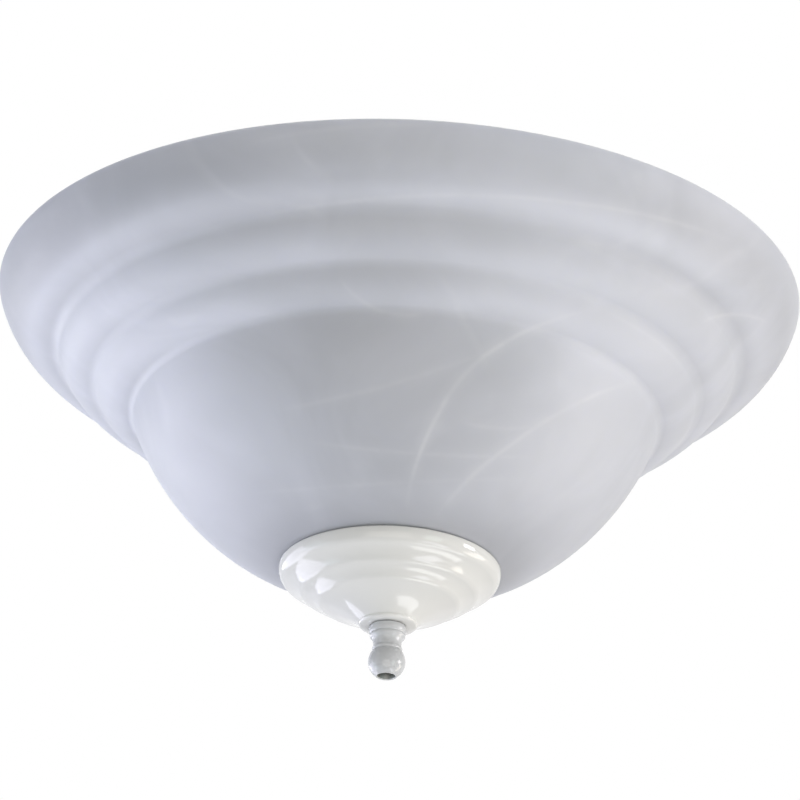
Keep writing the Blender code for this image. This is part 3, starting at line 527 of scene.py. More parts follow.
# ---------------- lampholders and lamps
BASE_RADIUS = 0.006
BASE_RIM = 0.0285
BASE_FOOT_AT = 0.013
THREAD_PITCH = 0.00254
THREAD_DEPTH = 0.0004
LEAD_HOLE_AT = 0.0056


def wave(z):
    """Radius share of the rolled lamp thread along its pitch."""
    return 0.5 + 0.5 * math.cos(math.tau * z / THREAD_PITCH)


def helical(name, crest, low, high, top_run, steps=48, wall=0.0, foot=(), foot_swing=0.0):
    """A sheet-metal screw tube whose wave climbs as a helix, plain near its top and, without a foot swing, its foot."""
    shape = bmesh.new()
    count = int((high - low) / (THREAD_PITCH / 10))
    run = 0.0008
    def row(z, extra):
        fade = min(1.0, max(0.0, (high - top_run - z) / run)) * min(1.0, (z - low) / run + foot_swing)
        def place(turn):
            swing = wave(z - BASE_RIM + 0.003 - THREAD_PITCH * turn / math.tau)
            return crest + extra - THREAD_DEPTH * (1 - swing) * fade, z
        return ring(shape, steps, place)
    rows = [row(high + (low - high) * index / count, 0.0) for index in range(count + 1)]
    rows += [ring(shape, steps, lambda turn: place) for place in foot]
    if wall:
        rows += [row(low + (high - low) * index / count, wall) for index in range(count + 1)]
    skin(shape, rows, closed=bool(wall))
    return finished_mesh(name, shape, 50)


def shell_mesh(name):
    crest = BASE_RADIUS + GAP
    low = 0.0063
    foot = [(crest, low + 0.0004), (crest - 0.0022, low + 0.0004), (crest - 0.0022, low), (crest + 0.0003, low)]
    return helical(name, crest, low + 0.0008, 0.027, 0.0007, wall=0.0004, foot=foot)


def base_mesh(name):
    foot = [(BASE_RADIUS - 0.0005, BASE_FOOT_AT + 0.0012), (0.0046, BASE_FOOT_AT + 0.0003), (0.0038, BASE_FOOT_AT),
            (0.0023, BASE_FOOT_AT), (0.0023, BASE_FOOT_AT + 0.0004), (0.0052, BASE_RIM - 0.0083), (0.0052, BASE_RIM),
            (BASE_RADIUS - 0.0002, BASE_RIM)]
    return helical(name, BASE_RADIUS, BASE_FOOT_AT + 0.0018, BASE_RIM - 0.0002, 0.002, foot=foot, foot_swing=1.0)


def holder_mesh(name):
    """A moulded holder with rounded edges, a grip band and two lead holes in its floor."""
    radius, cavity, length, floor = 0.0096, 0.0070, 0.028, 0.006
    def flute(turn, across, z):
        if across > 0.0093 and 0.0042 < z < 0.0128:
            return across - 0.00018 * (0.5 + 0.5 * math.cos(24 * turn))
        return across
    outline = [(0.0019, 0.0043), (0, 0.0043), (0, floor), (cavity - 0.0004, floor), (cavity, floor + 0.0004)]
    outline += [(cavity, length - 0.0005), (cavity + 0.0005, length)]
    outline += arc((radius - 0.0012, length), (radius, length - 0.0012), 0.2, 5)
    outline += [(radius, 0.0150), (radius - 0.0003, 0.0147), (radius - 0.0003, 0.0139), (radius, 0.0136)]
    outline += [(radius, 0.0130), (radius, 0.0126), (radius, 0.0044), (radius, 0.0040)]
    outline += arc((radius, 0.0012), (radius - 0.0012, 0.0), 0.2, 5) + [(0.0022, 0.0), (0.0019, 0.0003)]
    body = turned("holder_body", outline, 144, flute=flute)
    hole = turned("lead_hole", [(0, 0.008), (0.0012, 0.008), (0.0012, -0.002), (0, -0.002)], 24, closed=False)
    spots = [(hole, Matrix.Translation((0, side * LEAD_HOLE_AT, 0))) for side in (-1, 1)]
    return cut(name, body, spots)


def contact_mesh(name):
    """A sprung brass strip, bent from the floor up and over to a crown under the lamp's button."""
    foot, crown, half, sheet = 0.0063, 0.0097, 0.0026, 0.0004
    path = [(-half, foot + sheet / 2), (half - 0.0007, foot + sheet / 2)]
    path += bezier((half - 0.0007, foot + sheet / 2), (half, foot + sheet / 2), (half - 0.0001, foot + 0.0007),
                   (half - 0.0002, foot + 0.0013), 5)[1:]
    path += bezier((half - 0.0002, foot + 0.0013), (half - 0.0002, crown), (-half * 0.2, crown + 0.0002),
                   (-half * 0.9, crown - 0.0012), 12)[1:]
    outer = offset(path, -sheet / 2)
    inner = offset(path, sheet / 2)
    return cut(name, extruded(name + "_bar", outer + inner[::-1], 0.0026), [], 0.00008)


def screw_mesh(name):
    """A pan-headed screw with a cross recess."""
    shank, root, pitch, z = 0.0016, 0.0013, 0.0005, 0.0032
    seat = -BRACKET_SHEET - 2 * GAP
    outline = [(0, 0.004), (shank / 2, 0.004), (shank, z)]
    while z > seat + 0.0006:
        outline += [(shank, z), (root, z - pitch / 2), (shank, z - pitch)]
        z -= pitch
    outline += [(shank, seat), (0.0028, seat)] + arc((0.0029, seat - 0.0002), (0.0, seat - 0.002), 0.19, 10)
    body = turned(name + "_body", outline, 40, closed=False)
    blade = extruded(name + "_blade", [(-0.0016, seat - 0.0032), (0.0016, seat - 0.0032), (0.0007, seat - 0.0008),
                                       (-0.0007, seat - 0.0008)], 0.0005)
    return cut(name, body, [(blade, Matrix.Identity(4)), (blade, Matrix.Rotation(math.pi / 2, 4, 'Z'))])


def bulb_outline(inset, steps):
    neck, belly = 0.0052 - GAP - inset, 0.0165 - inset
    length, rim = 0.074, BASE_RIM
    tip, belly_at, swell = rim + length - inset, rim + length * 0.38, length * 0.17
    points = [(neck, rim - 0.008)]
    points += bezier((neck, rim), (neck, rim + swell), (belly, belly_at - swell), (belly, belly_at), steps)
    points += bezier((belly, belly_at), (belly, belly_at + length * 0.26), (belly * 0.34, tip), (0, tip), steps)[1:]
    return points


def bulb_mesh(name):
    return turned(name, bulb_outline(0, 22) + bulb_outline(0.0008, 10)[::-1], 64, angle=60)


def button_meshes():
    foot = BASE_FOOT_AT
    body = [(0, foot + 0.0004), (0.002, foot + 0.0004), (0.002, foot - GAP), (0.0038, foot - GAP)]
    body += arc((0.0038, foot - GAP - 0.0001), (0.0021, foot - 0.0018), 0.08, 6)
    body += [(0.0014, foot - 0.0018), (0, foot - 0.0017)]
    tip = foot - 0.003
    drop = [(0, foot - 0.0018), (0.0019, foot - 0.0018)] + arc((0.002, foot - 0.0019), (0.0, tip), 0.18, 8)
    return turned("insulator", body, 40, closed=False), turned("button", drop, 32, closed=False)


# ---------------- leads
LEAD_RADIUS = 0.0009
ARM_GAP_RADIUS = 0.019
LANE_STEP = math.radians(25)
CONNECTOR_PLACE = 0.029
CONNECTOR_MOUTH = -0.0177
SLOT_RADIUS = (2 * LEAD_RADIUS + 0.0007) / math.sqrt(3)


def around(radius, azimuth, height):
    return Vector((radius * math.cos(azimuth), radius * math.sin(azimuth), height))


def smooth_route(points, spacing):
    padded = [2 * points[0] - points[1]] + points + [2 * points[-1] - points[-2]]
    handles = []
    for before, point, after in zip(padded, points, padded[2:]):
        reach = min((point - before).length, (after - point).length) / 3
        handles.append((after - before).normalized() * reach)
    route = []
    for index in range(len(points) - 1):
        start, end = points[index], points[index + 1]
        steps = max(1, round((end - start).length / spacing))
        route += interpolate_bezier(start, start + handles[index], end - handles[index + 1], end, steps + 1)[:-1]
    return route + [points[-1]]


def lead_route(azimuth, side, lane, place):
    matrix = lamp_matrix(math.degrees(azimuth))
    lane_radius, lane_height = lane
    start = azimuth + side * LANE_STEP
    sweep = (place - start + math.pi) % math.tau - math.pi
    turning = math.copysign(1, sweep)
    points = [matrix @ Vector((0, side * LEAD_HOLE_AT, height)) for height in (0.004, -0.0025)]
    points += [around(ARM_GAP_RADIUS, start, (BRACKET_BOTTOM + matrix.translation.z) / 2),
               around(ARM_GAP_RADIUS, start, BRACKET_TOP)]
    turns = max(1, round(abs(sweep) / LANE_STEP))
    for index in range(1, turns):
        points.append(around(lane_radius, start + sweep * index / turns, lane_height))
    slot_turn = math.pi if abs(sweep) > math.pi / 2 else -turning * math.pi / 3
    slot = around(CONNECTOR_PLACE, place, 0) + around(SLOT_RADIUS, place + slot_turn, 0)
    points.append(around((lane_radius + slot.length) / 2, place - turning * math.radians(11), lane_height))
    for height in (-0.0025, -GAP, 0.008):
        points.append(slot + Vector((0, 0, CONNECTOR_MOUTH + height)))
    return points


def lead(name, route):
    curve = bpy.data.curves.new(name, 'CURVE')
    curve.dimensions = '3D'
    curve.bevel_depth = LEAD_RADIUS
    curve.bevel_resolution = 4
    curve.use_fill_caps = True
    points = smooth_route(route, 0.0012)
    spline = curve.splines.new('POLY')
    spline.points.add(len(points) - 1)
    for spot, point in zip(spline.points, points):
        spot.co = (*point, 1)
    return cut(name, curve, [])


def connector_mesh(name, place):
    """A twist-on connector: fluted grip, plain skirt and an open mouth that faces down."""
    bore = SLOT_RADIUS + LEAD_RADIUS + GAP
    def flute(turn, across, z):
        if across > 0.0035 and 0.0035 < z < 0.0140:
            return across - 0.00045 * (0.5 + 0.5 * math.cos(10 * turn)) * min(1, (z - 0.0035) / 0.001)
        return across
    outline = [(0, 0.011), (bore, 0.011), (bore, 0.0004), (bore + 0.0004, 0.0)]
    outline += arc((0.0050, 0.0), (0.0056, 0.0006), 0.2, 3)
    outline += [(0.0055, 0.0030), (0.0052, 0.0035), (0.0051, 0.0046), (0.0047, 0.0090), (0.0042, 0.0128)]
    outline += arc((0.0041, 0.0134), (0.0, 0.0155), 0.16, 8)
    mesh = turned(name, outline, 120, closed=False, angle=40, flute=flute)
    mesh.transform(Matrix.Translation(around(CONNECTOR_PLACE, math.radians(place), CONNECTOR_MOUTH)))
    return mesh


# ---------------- fitter pan


def pan_mesh():
    radius, depth, sheet, corner = 0.056, 0.026, 0.001, 0.004
    outside = [(HOLE_RADIUS, 0.0)] + arc((radius - corner, 0.0), (radius, -corner), 0.207, 10)
    outside += [(radius, -depth + 0.0022)]
    outside += bezier((radius, -depth + 0.0022), (radius, -depth + 0.0012), (radius + 0.0004, -depth + 0.0010),
                      (radius + 0.0014, -depth + 0.0010), 4)[1:]
    outside += arc((radius + 0.0016, -depth + 0.0010), (radius + 0.0016, -depth), 0.4, 5)
    inner = radius - sheet
    inside = [(inner + 0.0006, -depth), (inner, -depth + 0.0006)]
    inside += arc((inner - 0.003, -sheet), (inner, -corner), 0.207, 8)[::-1] + [(HOLE_RADIUS, -sheet)]
    return turned("fitter_pan_fine", outside + inside, 160, angle=40)


# ---------------- materials


class Nodes:
    """Short calls for building one material's node tree."""

    def __init__(self, name):
        self.material = bpy.data.materials.new(name)
        self.material.use_nodes = True
        self.tree = self.material.node_tree
        self.shader = self.tree.nodes["Principled BSDF"]
        self.where = self.new("ShaderNodeTexCoord").outputs["Object"]

    def new(self, kind, **settings):
        node = self.tree.nodes.new(kind)
        for key, value in settings.items():
            setattr(node, key, value)
        return node

    def link(self, source, target):
        """Links a socket, or writes a plain number or colour."""
        if isinstance(source, bpy.types.NodeSocket):
            self.tree.links.new(source, target)
        else:
            target.default_value = (*source, 1.0) if target.type == 'RGBA' else source

    def math(self, operation, first, second=0.0, clamp=False):
        node = self.new("ShaderNodeMath", operation=operation, use_clamp=clamp)
        for value, socket in zip((first, second), node.inputs):
            self.link(value, socket)
        return node.outputs[0]

    def plus(self, first, second):
        return self.math('ADD', first, second)

    def minus(self, first, second):
        return self.math('SUBTRACT', first, second)

    def times(self, first, second):
        return self.math('MULTIPLY', first, second)

    def noise(self, scale, detail, rough, distortion=0.0):
        node = self.new("ShaderNodeTexNoise")
        self.link(self.where, node.inputs["Vector"])
        for key, number in (("Scale", scale), ("Detail", detail), ("Roughness", rough), ("Distortion", distortion)):
            node.inputs[key].default_value = number
        return node.outputs["Fac"]

    def span(self, value, low, high, to_low=0.0, to_high=1.0):
        """A smooth step from one number to another while a value goes from low to high."""
        node = self.new("ShaderNodeMapRange", interpolation_type='SMOOTHSTEP')
        self.link(value, node.inputs["Value"])
        for key, number in (("From Min", low), ("From Max", high), ("To Min", to_low), ("To Max", to_high)):
            node.inputs[key].default_value = number
        return node.outputs[0]

    def blotches(self, low, high, scale, detail, rough):
        """Soft patches of noise from one number to another."""
        return self.span(self.noise(scale, detail, rough), 0.3, 0.7, low, high)

    def mix(self, share, first, second):
        node = self.new("ShaderNodeMix", data_type='RGBA')
        for value, index in ((share, 0), (first, 6), (second, 7)):
            self.link(value, node.inputs[index])
        return node.outputs[2]

    def bump(self, height, strength, distance):
        node = self.new("ShaderNodeBump")
        node.inputs["Strength"].default_value = strength
        node.inputs["Distance"].default_value = distance
        self.link(height, node.inputs["Height"])
        self.link(node.outputs[0], self.shader.inputs["Normal"])

    def set(self, **values):
        for key, value in values.items():
            self.link(value, self.shader.inputs[key.replace("_", " ")])


def mm(x, v):
    return (x / 1000, v / 1000)


# start, middle, end in millimetres across and up the glass as seen from below in front, width, strength
VEINS = [
    (mm(74, 0), mm(21, -33), mm(5, -80), 0.0017, 0.30),
    (mm(92, -29), mm(50, -50), mm(16, -84), 0.0017, 0.20),
    (mm(-46, -44), mm(2, -30), mm(40, -16), 0.0018, 0.12),
    (mm(-34, -56), mm(10, -59), mm(52, -59), 0.0015, 0.12),
    (mm(24, -46), mm(42, -48), mm(62, -45), 0.0015, 0.10),
    (mm(-56, -78), mm(-10, -72), mm(52, -68), 0.0015, 0.08),
    (mm(-68, 29), mm(14, 42.5), mm(130, 30), 0.0016, 0.17),
    (mm(-60, 60), mm(-20, 68), mm(16, 69), 0.0016, 0.14),
    (mm(122, -3), mm(134, 0), mm(150, -2), 0.0014, 0.20),
    (mm(-24, 8), mm(-8, -3), mm(10, -4), 0.0016, 0.14),
]
# painted light and shade by radius in millimetres: painted shade over the hole, where the cap shades the glass, and
# lighter and darker painted bands along the tiers and creases
PAINTED_LIGHT_AND_SHADE_RINGS = [(0, 0.78), (47, 0.78), (60, 0.92), (74, 0.99), (98, 1.0), (106, 1.0), (110, 1.06), (117, 1.06),
              (122, 1.01), (126, 1.06), (132, 1.06), (138, 1.0), (143, 1.01), (149, 1.06), (156, 0.94), (161, 0.93),
              (165, 1.05)]
RAMP_REACH = 170
# painted light and shade patches: azimuth and reach in degrees, radius and width in millimetres, change in brightness
PAINTED_LIGHT_PATCHES = [
    (-64, 54, 160, 9, -0.15),
    (26, 14, 106, 10, -0.05),
    (-66, 36, 118, 26, 0.07),
    (38, 34, 118, 20, 0.09),
    (0, 30, 92, 40, -0.06),
    (24, 34, 148, 8, 0.06),
    (6, 36, 161, 8, 0.09),
    (62, 30, 90, 24, 0.05),
    (-60, 26, 92, 24, 0.05),
    (-25, 20, 146, 12, -0.06),
]
GLASS_DARK = (0.57, 0.585, 0.635)
GLASS_PALE = (0.615, 0.63, 0.685)
GLASS_ROUGH = 0.50
GLASS_SPECULAR = 0.5
GLASS_TILT = math.radians(25.78)


def alabaster():
    """Frosted glass with cloudy drifts and thin pale veins, some long and curved, and painted light and shade: rings by
    radius and soft patches that lighten or darken the colour, darkest near the cap.
    """
    n = Nodes("frosted_alabaster")
    wobble = n.noise(9.0, 2.0, 0.5)
    drift = n.noise(13.0, 3.0, 0.55, 1.6)
    fine = n.noise(46.0, 4.0, 0.6, 0.6)
    ridge = n.math('ABSOLUTE', n.minus(n.noise(5.5, 2.0, 0.45, 2.2), 0.5))
    threads = n.times(n.span(ridge, 0.0, 0.03, 1.0, 0.0), n.span(drift, 0.42, 0.68))
    separate = n.new("ShaderNodeSeparateXYZ")
    n.link(n.where, separate.inputs[0])
    x = n.plus(separate.outputs[0], n.times(n.minus(wobble, 0.5), 0.012))
    y, z = separate.outputs[1], n.plus(separate.outputs[2], RIM_DROP)
    rise = n.plus(n.times(y, -math.sin(GLASS_TILT)), n.times(z, math.cos(GLASS_TILT)))
    near = n.span(y, -0.03, 0.03, 1.0, 0.0)
    total = None
    for start, middle, end, width, strength in VEINS:
        # each vein is a parabola through three chosen places in the plane of x and rise
        start, middle, end = Vector(start), Vector(middle), Vector(end)
        run = end - start
        along = run.normalized()
        across = Vector((-along.y, along.x))
        sag = (middle - start).dot(across)
        reach = (middle - start).dot(along) / run.length
        bend = sag / max(reach * (1 - reach), 0.05)
        s, d = (n.minus(n.plus(n.times(x, way.x), n.times(rise, way.y)), start.dot(way)) for way in (along, across))
        s = n.math('DIVIDE', s, run.length)
        curve = n.times(n.times(s, n.minus(1.0, s)), bend)
        away = n.math('ABSOLUTE', n.minus(d, curve))
        core = n.span(away, 0.0, width, 0.6, 0.0)
        line = n.plus(core, n.span(away, 0.0, width * 3.2, 0.4, 0.0))
        ends = n.times(n.span(s, -0.06, 0.16), n.span(s, 0.82, 1.06, 1.0, 0.0))
        vein = n.times(n.times(line, ends), strength)
        total = vein if total is None else n.math('MAXIMUM', total, vein)
    placed = n.times(n.times(total, near), n.span(fine, 0.3, 0.7, 0.45, 1.0))
    cloud = n.span(drift, 0.32, 0.72)
    true_x = separate.outputs[0]
    radius = n.math('POWER', n.plus(n.times(true_x, true_x), n.times(y, y)), 0.5)
    turn = n.times(n.math('ARCTAN2', true_x, n.times(y, -1.0)), math.degrees(1.0) / 100)
    # a ramp by radius of painted light and shade: painted shade near the cap, lighter and darker painted bands along
    # the tiers
    ramp = n.new("ShaderNodeValToRGB")
    ramp.color_ramp.interpolation = 'CARDINAL'
    n.link(n.math('DIVIDE', radius, RAMP_REACH / 1000), ramp.inputs[0])
    stops = ramp.color_ramp.elements
    for place, _ in PAINTED_LIGHT_AND_SHADE_RINGS[2:]:
        stops.new(place / RAMP_REACH)
    for stop, (place, painted_level) in zip(stops, PAINTED_LIGHT_AND_SHADE_RINGS):
        stop.position = place / RAMP_REACH
        stop.color = (painted_level / 2, painted_level / 2, painted_level / 2, 1.0)
    painted_light_scale = n.times(ramp.outputs[0], 2.0)
    for azimuth, reach, place, width, change in PAINTED_LIGHT_PATCHES:
        # each patch of painted light or shade is a soft oval in azimuth and radius, with an uneven edge
        over = n.math('DIVIDE', n.minus(turn, azimuth / 100), reach / 100)
        out = n.math('DIVIDE', n.minus(radius, place / 1000), width / 1000)
        far = n.plus(n.times(over, over), n.times(out, out))
        far = n.plus(far, n.times(n.minus(wobble, 0.5), 0.9))
        painted_light_scale = n.plus(painted_light_scale, n.span(far, 0.0, 1.3, change, 0.0))
    base = n.mix(cloud, GLASS_DARK, GLASS_PALE)
    # the glass colour is scaled by the painted light and shade
    scaled = n.new("ShaderNodeVectorMath", operation='SCALE')
    n.link(base, scaled.inputs[0])
    n.link(painted_light_scale, scaled.inputs["Scale"])
    base = scaled.outputs[0]
    pale = n.math('ADD', placed, n.times(threads, 0.07), clamp=True)
    n.set(Base_Color=n.mix(pale, base, (0.93, 0.93, 0.94)))
    n.set(Roughness=n.span(fine, 0.3, 0.7, GLASS_ROUGH - 0.02, GLASS_ROUGH + 0.03))
    n.set(IOR=1.5, Specular_IOR_Level=GLASS_SPECULAR)
    n.set(Subsurface_Weight=0.7, Subsurface_Radius=(1.0, 1.0, 1.1), Subsurface_Scale=0.003)
    n.bump(n.noise(900.0, 2.0, 0.5), 0.05, 0.0002)
    return n.material


def enamel(name, colour, rough, peel=0.03):
    """Sprayed and baked enamel: a faint orange peel and a slightly uneven gloss."""
    n = Nodes(name)
    darker = tuple(value * 0.975 for value in colour)
    n.set(Base_Color=n.mix(n.blotches(0.0, 1.0, 30.0, 3.0, 0.5), darker, colour))
    n.set(Roughness=n.blotches(rough * 0.8, rough * 1.25, 120.0, 3.0, 0.6))
    n.bump(n.noise(420.0, 1.0, 0.4), peel, 0.0004)
    return n.material


def metal(name, colour, rough, grain=300.0, tarnish=0.1, strength=0.05, distance=0.0002):
    """Plated, cast or rolled metal with uneven roughness and a little tarnish in patches."""
    n = Nodes(name)
    patch = n.span(n.noise(90.0, 5.0, 0.65, 0.4), 0.35, 0.75)
    dull = tuple(value * (1 - tarnish) for value in colour)
    n.set(Base_Color=n.mix(patch, colour, dull), Metallic=1.0)
    n.set(Roughness=n.blotches(rough * 0.75, rough * 1.3, grain, 4.0, 0.6))
    n.bump(n.noise(grain * 2.2, 3.0, 0.6), strength, distance)
    return n.material


def plastic(name, colour, rough, grain=500.0, strength=0.06, spread=0.06):
    """Moulded plastic, rubber or insulation with a fine surface grain."""
    n = Nodes(name)
    dull = tuple(value * (1 - spread) for value in colour)
    n.set(Base_Color=n.mix(n.blotches(0.0, 1.0, 70.0, 4.0, 0.6), colour, dull))
    n.set(Roughness=n.blotches(rough * 0.85, rough * 1.15, 160.0, 3.0, 0.6))
    n.bump(n.noise(grain, 3.0, 0.55), strength, 0.0002)
    return n.material


def lamp_coat():
    """Soft white coated lamp glass, faintly uneven in whiteness and gloss."""
    n = Nodes("lamp_coating")
    n.set(Base_Color=n.mix(n.blotches(0.0, 1.0, 60.0, 3.0, 0.5), (0.86, 0.86, 0.84), (0.90, 0.90, 0.885)))
    n.set(Roughness=n.blotches(0.26, 0.32, 60.0, 2.0, 0.5))
    return n.material


def build_object():
    glass = alabaster()
    white = enamel("white_enamel", (0.80, 0.80, 0.78), 0.075)
    pan_white = enamel("pan_enamel", (0.82, 0.82, 0.79), 0.22, 0.02)
    grey = enamel("finial_enamel", (0.63, 0.643, 0.66), 0.12)
    # dark metal for the finial's bore: partly bare unpainted metal, partly painted shade for the unlit inside of the
    # hole
    bore = metal("bore_metal_and_painted_shade", (0.30, 0.31, 0.30), 0.5, 200.0, 0.3)
    zinc = metal("zinc_plate", (0.66, 0.67, 0.69), 0.32)
    thread_zinc = metal("thread_zinc", (0.62, 0.63, 0.64), 0.36)
    cast = metal("cast_zinc", (0.58, 0.59, 0.60), 0.48, 160.0, 0.16, 0.25, 0.0003)
    brass = metal("rolled_brass", (0.80, 0.62, 0.30), 0.28, 260.0, 0.18)
    solder = metal("solder_tip", (0.60, 0.60, 0.58), 0.38, 200.0, 0.2)
    holder = plastic("holder_moulding", (0.84, 0.82, 0.76), 0.38)
    insulator = plastic("lamp_insulator", (0.030, 0.026, 0.032), 0.16, 300.0, 0.03)
    rubber = plastic("black_rubber", (0.035, 0.035, 0.036), 0.66, 700.0, 0.2, 0.2)
    black = plastic("black_insulation", (0.022, 0.022, 0.023), 0.42, 600.0, 0.05, 0.2)
    pale = plastic("white_insulation", (0.80, 0.80, 0.77), 0.42, 600.0, 0.05)
    orange = plastic("connector_moulding", (0.80, 0.25, 0.035), 0.45, 500.0, 0.1)
    coat = lamp_coat()

    def fine(node, mesh, body, slot, material):
        return add(node + "_fine", mesh, body, [node], slot, material)

    fine("glass_bowl", bowl_mesh(), "bowl", "frosted_glass", glass)
    fine("bottom_cap", cap_mesh(), "cap", "white_enamel", white)
    finial = fine("finial", finial_mesh(), "finial", "grey_white_enamel", grey)
    # faces inside the bore get the darker metal, which is partly painted shade for the recess
    finial.data.materials.append(bore)
    for face in finial.data.polygons:
        face.material_index = int(face.center.xy.length < FINIAL_HOLE_RADIUS)
    fine("fitter_pan", pan_mesh(), "fixture", "white_enamel", pan_white)
    rod_low = finial_top() - FINIAL_THREAD_DEPTH + ROD_END_GAP
    tubes = [("center_rod", rod_low, ROD_TOP), ("mounting_nipple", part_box("mounting_nipple")[0].z, NIPPLE_REACH)]
    for node, low, high in tubes:
        fine(node, threaded_tube(node + "_fine", low, high), "fixture", "zinc_plate", thread_zinc)
    for node in ("housing_nut", "pan_nut", "bracket_nut", "stop_nut"):
        fine(node, nut_mesh(node + "_fine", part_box(node)[0].z), "fixture", "zinc_plate", zinc)
    for node in ("housing_washer", "pan_washer", "bracket_washer"):
        fine(node, tooth_washer_mesh(node + "_fine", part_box(node)[0].z), "fixture", "zinc_plate", zinc)
    for node, body, material, slot, edge in (("stop_washer", "fixture", zinc, "zinc_plate", 0.0003),
                                             ("glass_washer", "bowl", rubber, "rubber", 0.0005)):
        low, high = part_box(node)
        mesh = turned(node + "_fine", ring_outline(HOLE_RADIUS, WASHER_RADIUS, low.z, high.z, edge), 96)
        fine(node, mesh, body, slot, material)
    fine("hickey", hickey_mesh(), "fixture", "zinc_plate", cast)
    fine("socket_bracket", bracket_mesh(), "fixture", "zinc_plate", zinc)
    fine("cap_gasket", gasket_mesh(), "cap", "rubber", rubber)

    holder_body, shell_body, contact_body = holder_mesh("holder"), shell_mesh("shell"), contact_mesh("contact")
    screw_body, base_body, glass_body = screw_mesh("screw"), base_mesh("base"), bulb_mesh("lamp_glass")
    insulator_body, button_body = button_meshes()
    for number, azimuth in enumerate(LAMP_AZIMUTHS, 1):
        matrix = lamp_matrix(azimuth)
        body = "lamp_%d" % number
        rows = [("lampholder", holder_body, "fixture", "lampholder_%d", "holder_moulding", holder),
                ("screw_shell", shell_body, "fixture", "screw_shell_%d", "brass", brass),
                ("centre_contact", contact_body, "fixture", "centre_contact_%d", "brass", brass),
                ("lampholder_screw", screw_body, "fixture", "lampholder_screw_%d", "zinc_plate", zinc),
                ("bulb_glass", glass_body, body, "bulb_glass_%d", "lamp_glass", coat),
                ("bulb_base", base_body, body, "bulb_base_%d", "brass", brass),
                ("bulb_insulator", insulator_body, body, "bulb_contact_%d", "lamp_insulator", insulator),
                ("bulb_button", button_body, body, None, "zinc_plate", solder)]
        for kind, mesh, rider, node, slot, material in rows:
            nodes = [node % number] if node else []
            add("%s_fine_%d" % (kind, number), mesh.copy(), rider, nodes, slot, material, matrix)

    near, middle = (0.0230, -0.0235), (0.0224, -0.0270)
    runs = [("black", black, -1, 30, [near, (0.0132, -0.0215), middle]),
            ("white", pale, 1, 150, [near, middle, (0.0160, -0.0262)])]
    for colour, material, side, place, lanes in runs:
        for number, azimuth in enumerate(LAMP_AZIMUTHS, 1):
            name = "%s_lead_%d" % (colour, number)
            route = lead_route(math.radians(azimuth), side, lanes[number - 1], math.radians(place))
            fine(name, lead(name + "_fine", route), "fixture", colour + "_insulation", material)
        name = colour + "_connector"
        fine(name, connector_mesh(name + "_fine", place), "fixture", "orange_cap", orange)


# ---------------- camera, floor and light


LENS_MM = 269.92
CAMERA_PLACE = (0, -2.22866, -1.10642)
CAMERA_PAN = math.radians(-0.045)
CAMERA_RISE = math.radians(24.857)
CAMERA_ROLL = math.radians(1.961)
LIGHT_AIM = (0, 0, -0.10)
FLOOR_SIZE = 12.0
FLOOR_DEPTH = 4.4
# glow of the floor, and strength of the world off the pale things that only the camera and gloss see
FLOOR_GLOW = 0.62
WORLD_FILL = 0.13


def build_camera():
    data = bpy.data.cameras.new("camera")
    data.sensor_width = 36.0
    data.lens = LENS_MM
    data.clip_start, data.clip_end = 0.05, 60.0
    item = linked("camera", data)
    turn = Matrix.Rotation(CAMERA_PAN, 4, 'Z') @ Matrix.Rotation(math.pi / 2 + CAMERA_RISE, 4, 'X')
    turn = turn @ Matrix.Rotation(CAMERA_ROLL, 4, 'Z')
    item.matrix_world = Matrix.Translation(CAMERA_PLACE) @ turn
    bpy.context.scene.camera = item


def add_light(name, azimuth, elevation, distance, width, height, power, colour):
    """A soft box aimed at the bowl, placed by its direction as seen from the bowl."""
    data = bpy.data.lights.new(name, 'AREA')
    data.shape = 'RECTANGLE'
    data.size, data.size_y = width, height
    data.energy = power
    data.color = colour
    item = linked(name, data)
    a, e = math.radians(azimuth), math.radians(elevation)
    back = Vector((math.sin(a) * math.cos(e), -math.cos(a) * math.cos(e), math.sin(e)))
    item.location = Vector(LIGHT_AIM) + back * distance
    item.rotation_euler = back.to_track_quat('Z', 'Y').to_euler()


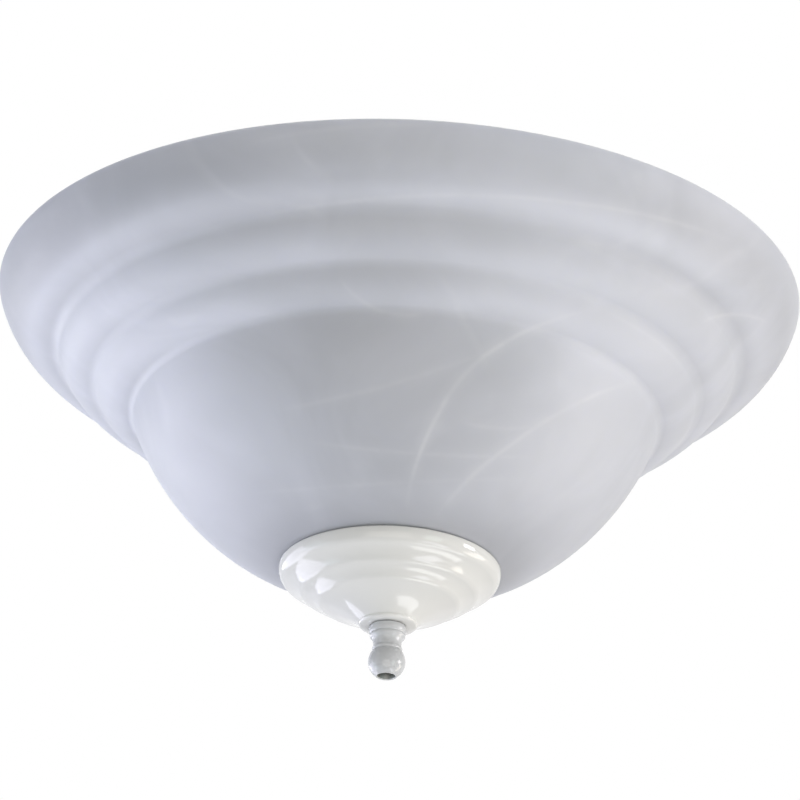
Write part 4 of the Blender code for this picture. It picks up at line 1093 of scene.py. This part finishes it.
LIGHTS = [
    ("front_box", -2, -30, 2.0, 1.6, 1.6, 16.2, (1.0, 0.94, 0.89)),
    ("right_front_box", 44, -21, 2.0, 0.6, 1.0, 4.9, (0.84, 1.0, 0.92)),
    ("right_high_box", 85, -2, 2.0, 0.5, 0.5, 9.6, (1.0, 0.95, 0.98)),
    ("right_back_box", 104, -25, 2.0, 0.6, 1.3, 11.0, (1.0, 0.92, 0.80)),
    ("low_right_box", 70, -60, 2.0, 0.9, 0.4, 4.2, (0.90, 0.90, 1.0)),
    ("low_back_box", 124, -64, 2.0, 0.40, 1.0, 4.3, (1.0, 1.0, 1.0)),
    ("left_box", -88, -28, 2.0, 1.0, 1.6, 5.4, (0.60, 0.87, 1.0)),
    ("left_back_box", -120, -20, 2.0, 1.7, 1.7, 28.5, (0.86, 0.85, 1.0)),
    ("left_edge_box", -140, -2, 2.0, 0.35, 0.5, 2.4, (0.95, 0.97, 1.0)),
    ("top_box", 20, 84, 2.4, 1.8, 1.8, 42.0, (1.0, 1.0, 1.0)),
]


def seen_directly(tree):
    """1 for rays from the camera, off gloss and through glass, and 0 for the rest."""
    path = tree.nodes.new("ShaderNodeLightPath")
    value = path.outputs["Is Camera Ray"]
    for kind in ("Is Glossy Ray", "Is Transmission Ray"):
        node = tree.nodes.new("ShaderNodeMath")
        node.operation = 'MAXIMUM'
        tree.links.new(value, node.inputs[0])
        tree.links.new(path.outputs[kind], node.inputs[1])
        value = node.outputs[0]
    return value


def build_stage():
    shape = bmesh.new()
    bmesh.ops.create_grid(shape, x_segments=1, y_segments=1, size=FLOOR_SIZE)
    mesh = bpy.data.meshes.new("floor")
    shape.to_mesh(mesh)
    shape.free()
    floor = linked("floor", mesh)
    floor.location = (0, 0, -FLOOR_DEPTH)
    n = Nodes("pale_floor")
    n.set(Base_Color=n.mix(n.noise(2.0, 2.0, 0.5), (0.80, 0.80, 0.80), (0.82, 0.82, 0.82)), Roughness=0.9)
    n.set(Emission_Color=(1.0, 1.0, 1.0), Emission_Strength=n.times(seen_directly(n.tree), FLOOR_GLOW))
    floor.data.materials.append(n.material)

    world = bpy.data.worlds.new("studio")
    world.use_nodes = True
    bpy.context.scene.world = world
    tree = world.node_tree
    background = tree.nodes["Background"]
    spread = tree.nodes.new("ShaderNodeMapRange")
    tree.links.new(seen_directly(tree), spread.inputs["Value"])
    spread.inputs["To Min"].default_value = WORLD_FILL
    spread.inputs["To Max"].default_value = 1.0
    tree.links.new(spread.outputs[0], background.inputs["Strength"])
    background.inputs["Color"].default_value = (1.0, 1.0, 1.0, 1.0)
    bpy.context.scene.view_settings.view_transform = 'Standard'
    for row in LIGHTS:
        add_light(*row)


build_camera()
build_object()
build_stage()
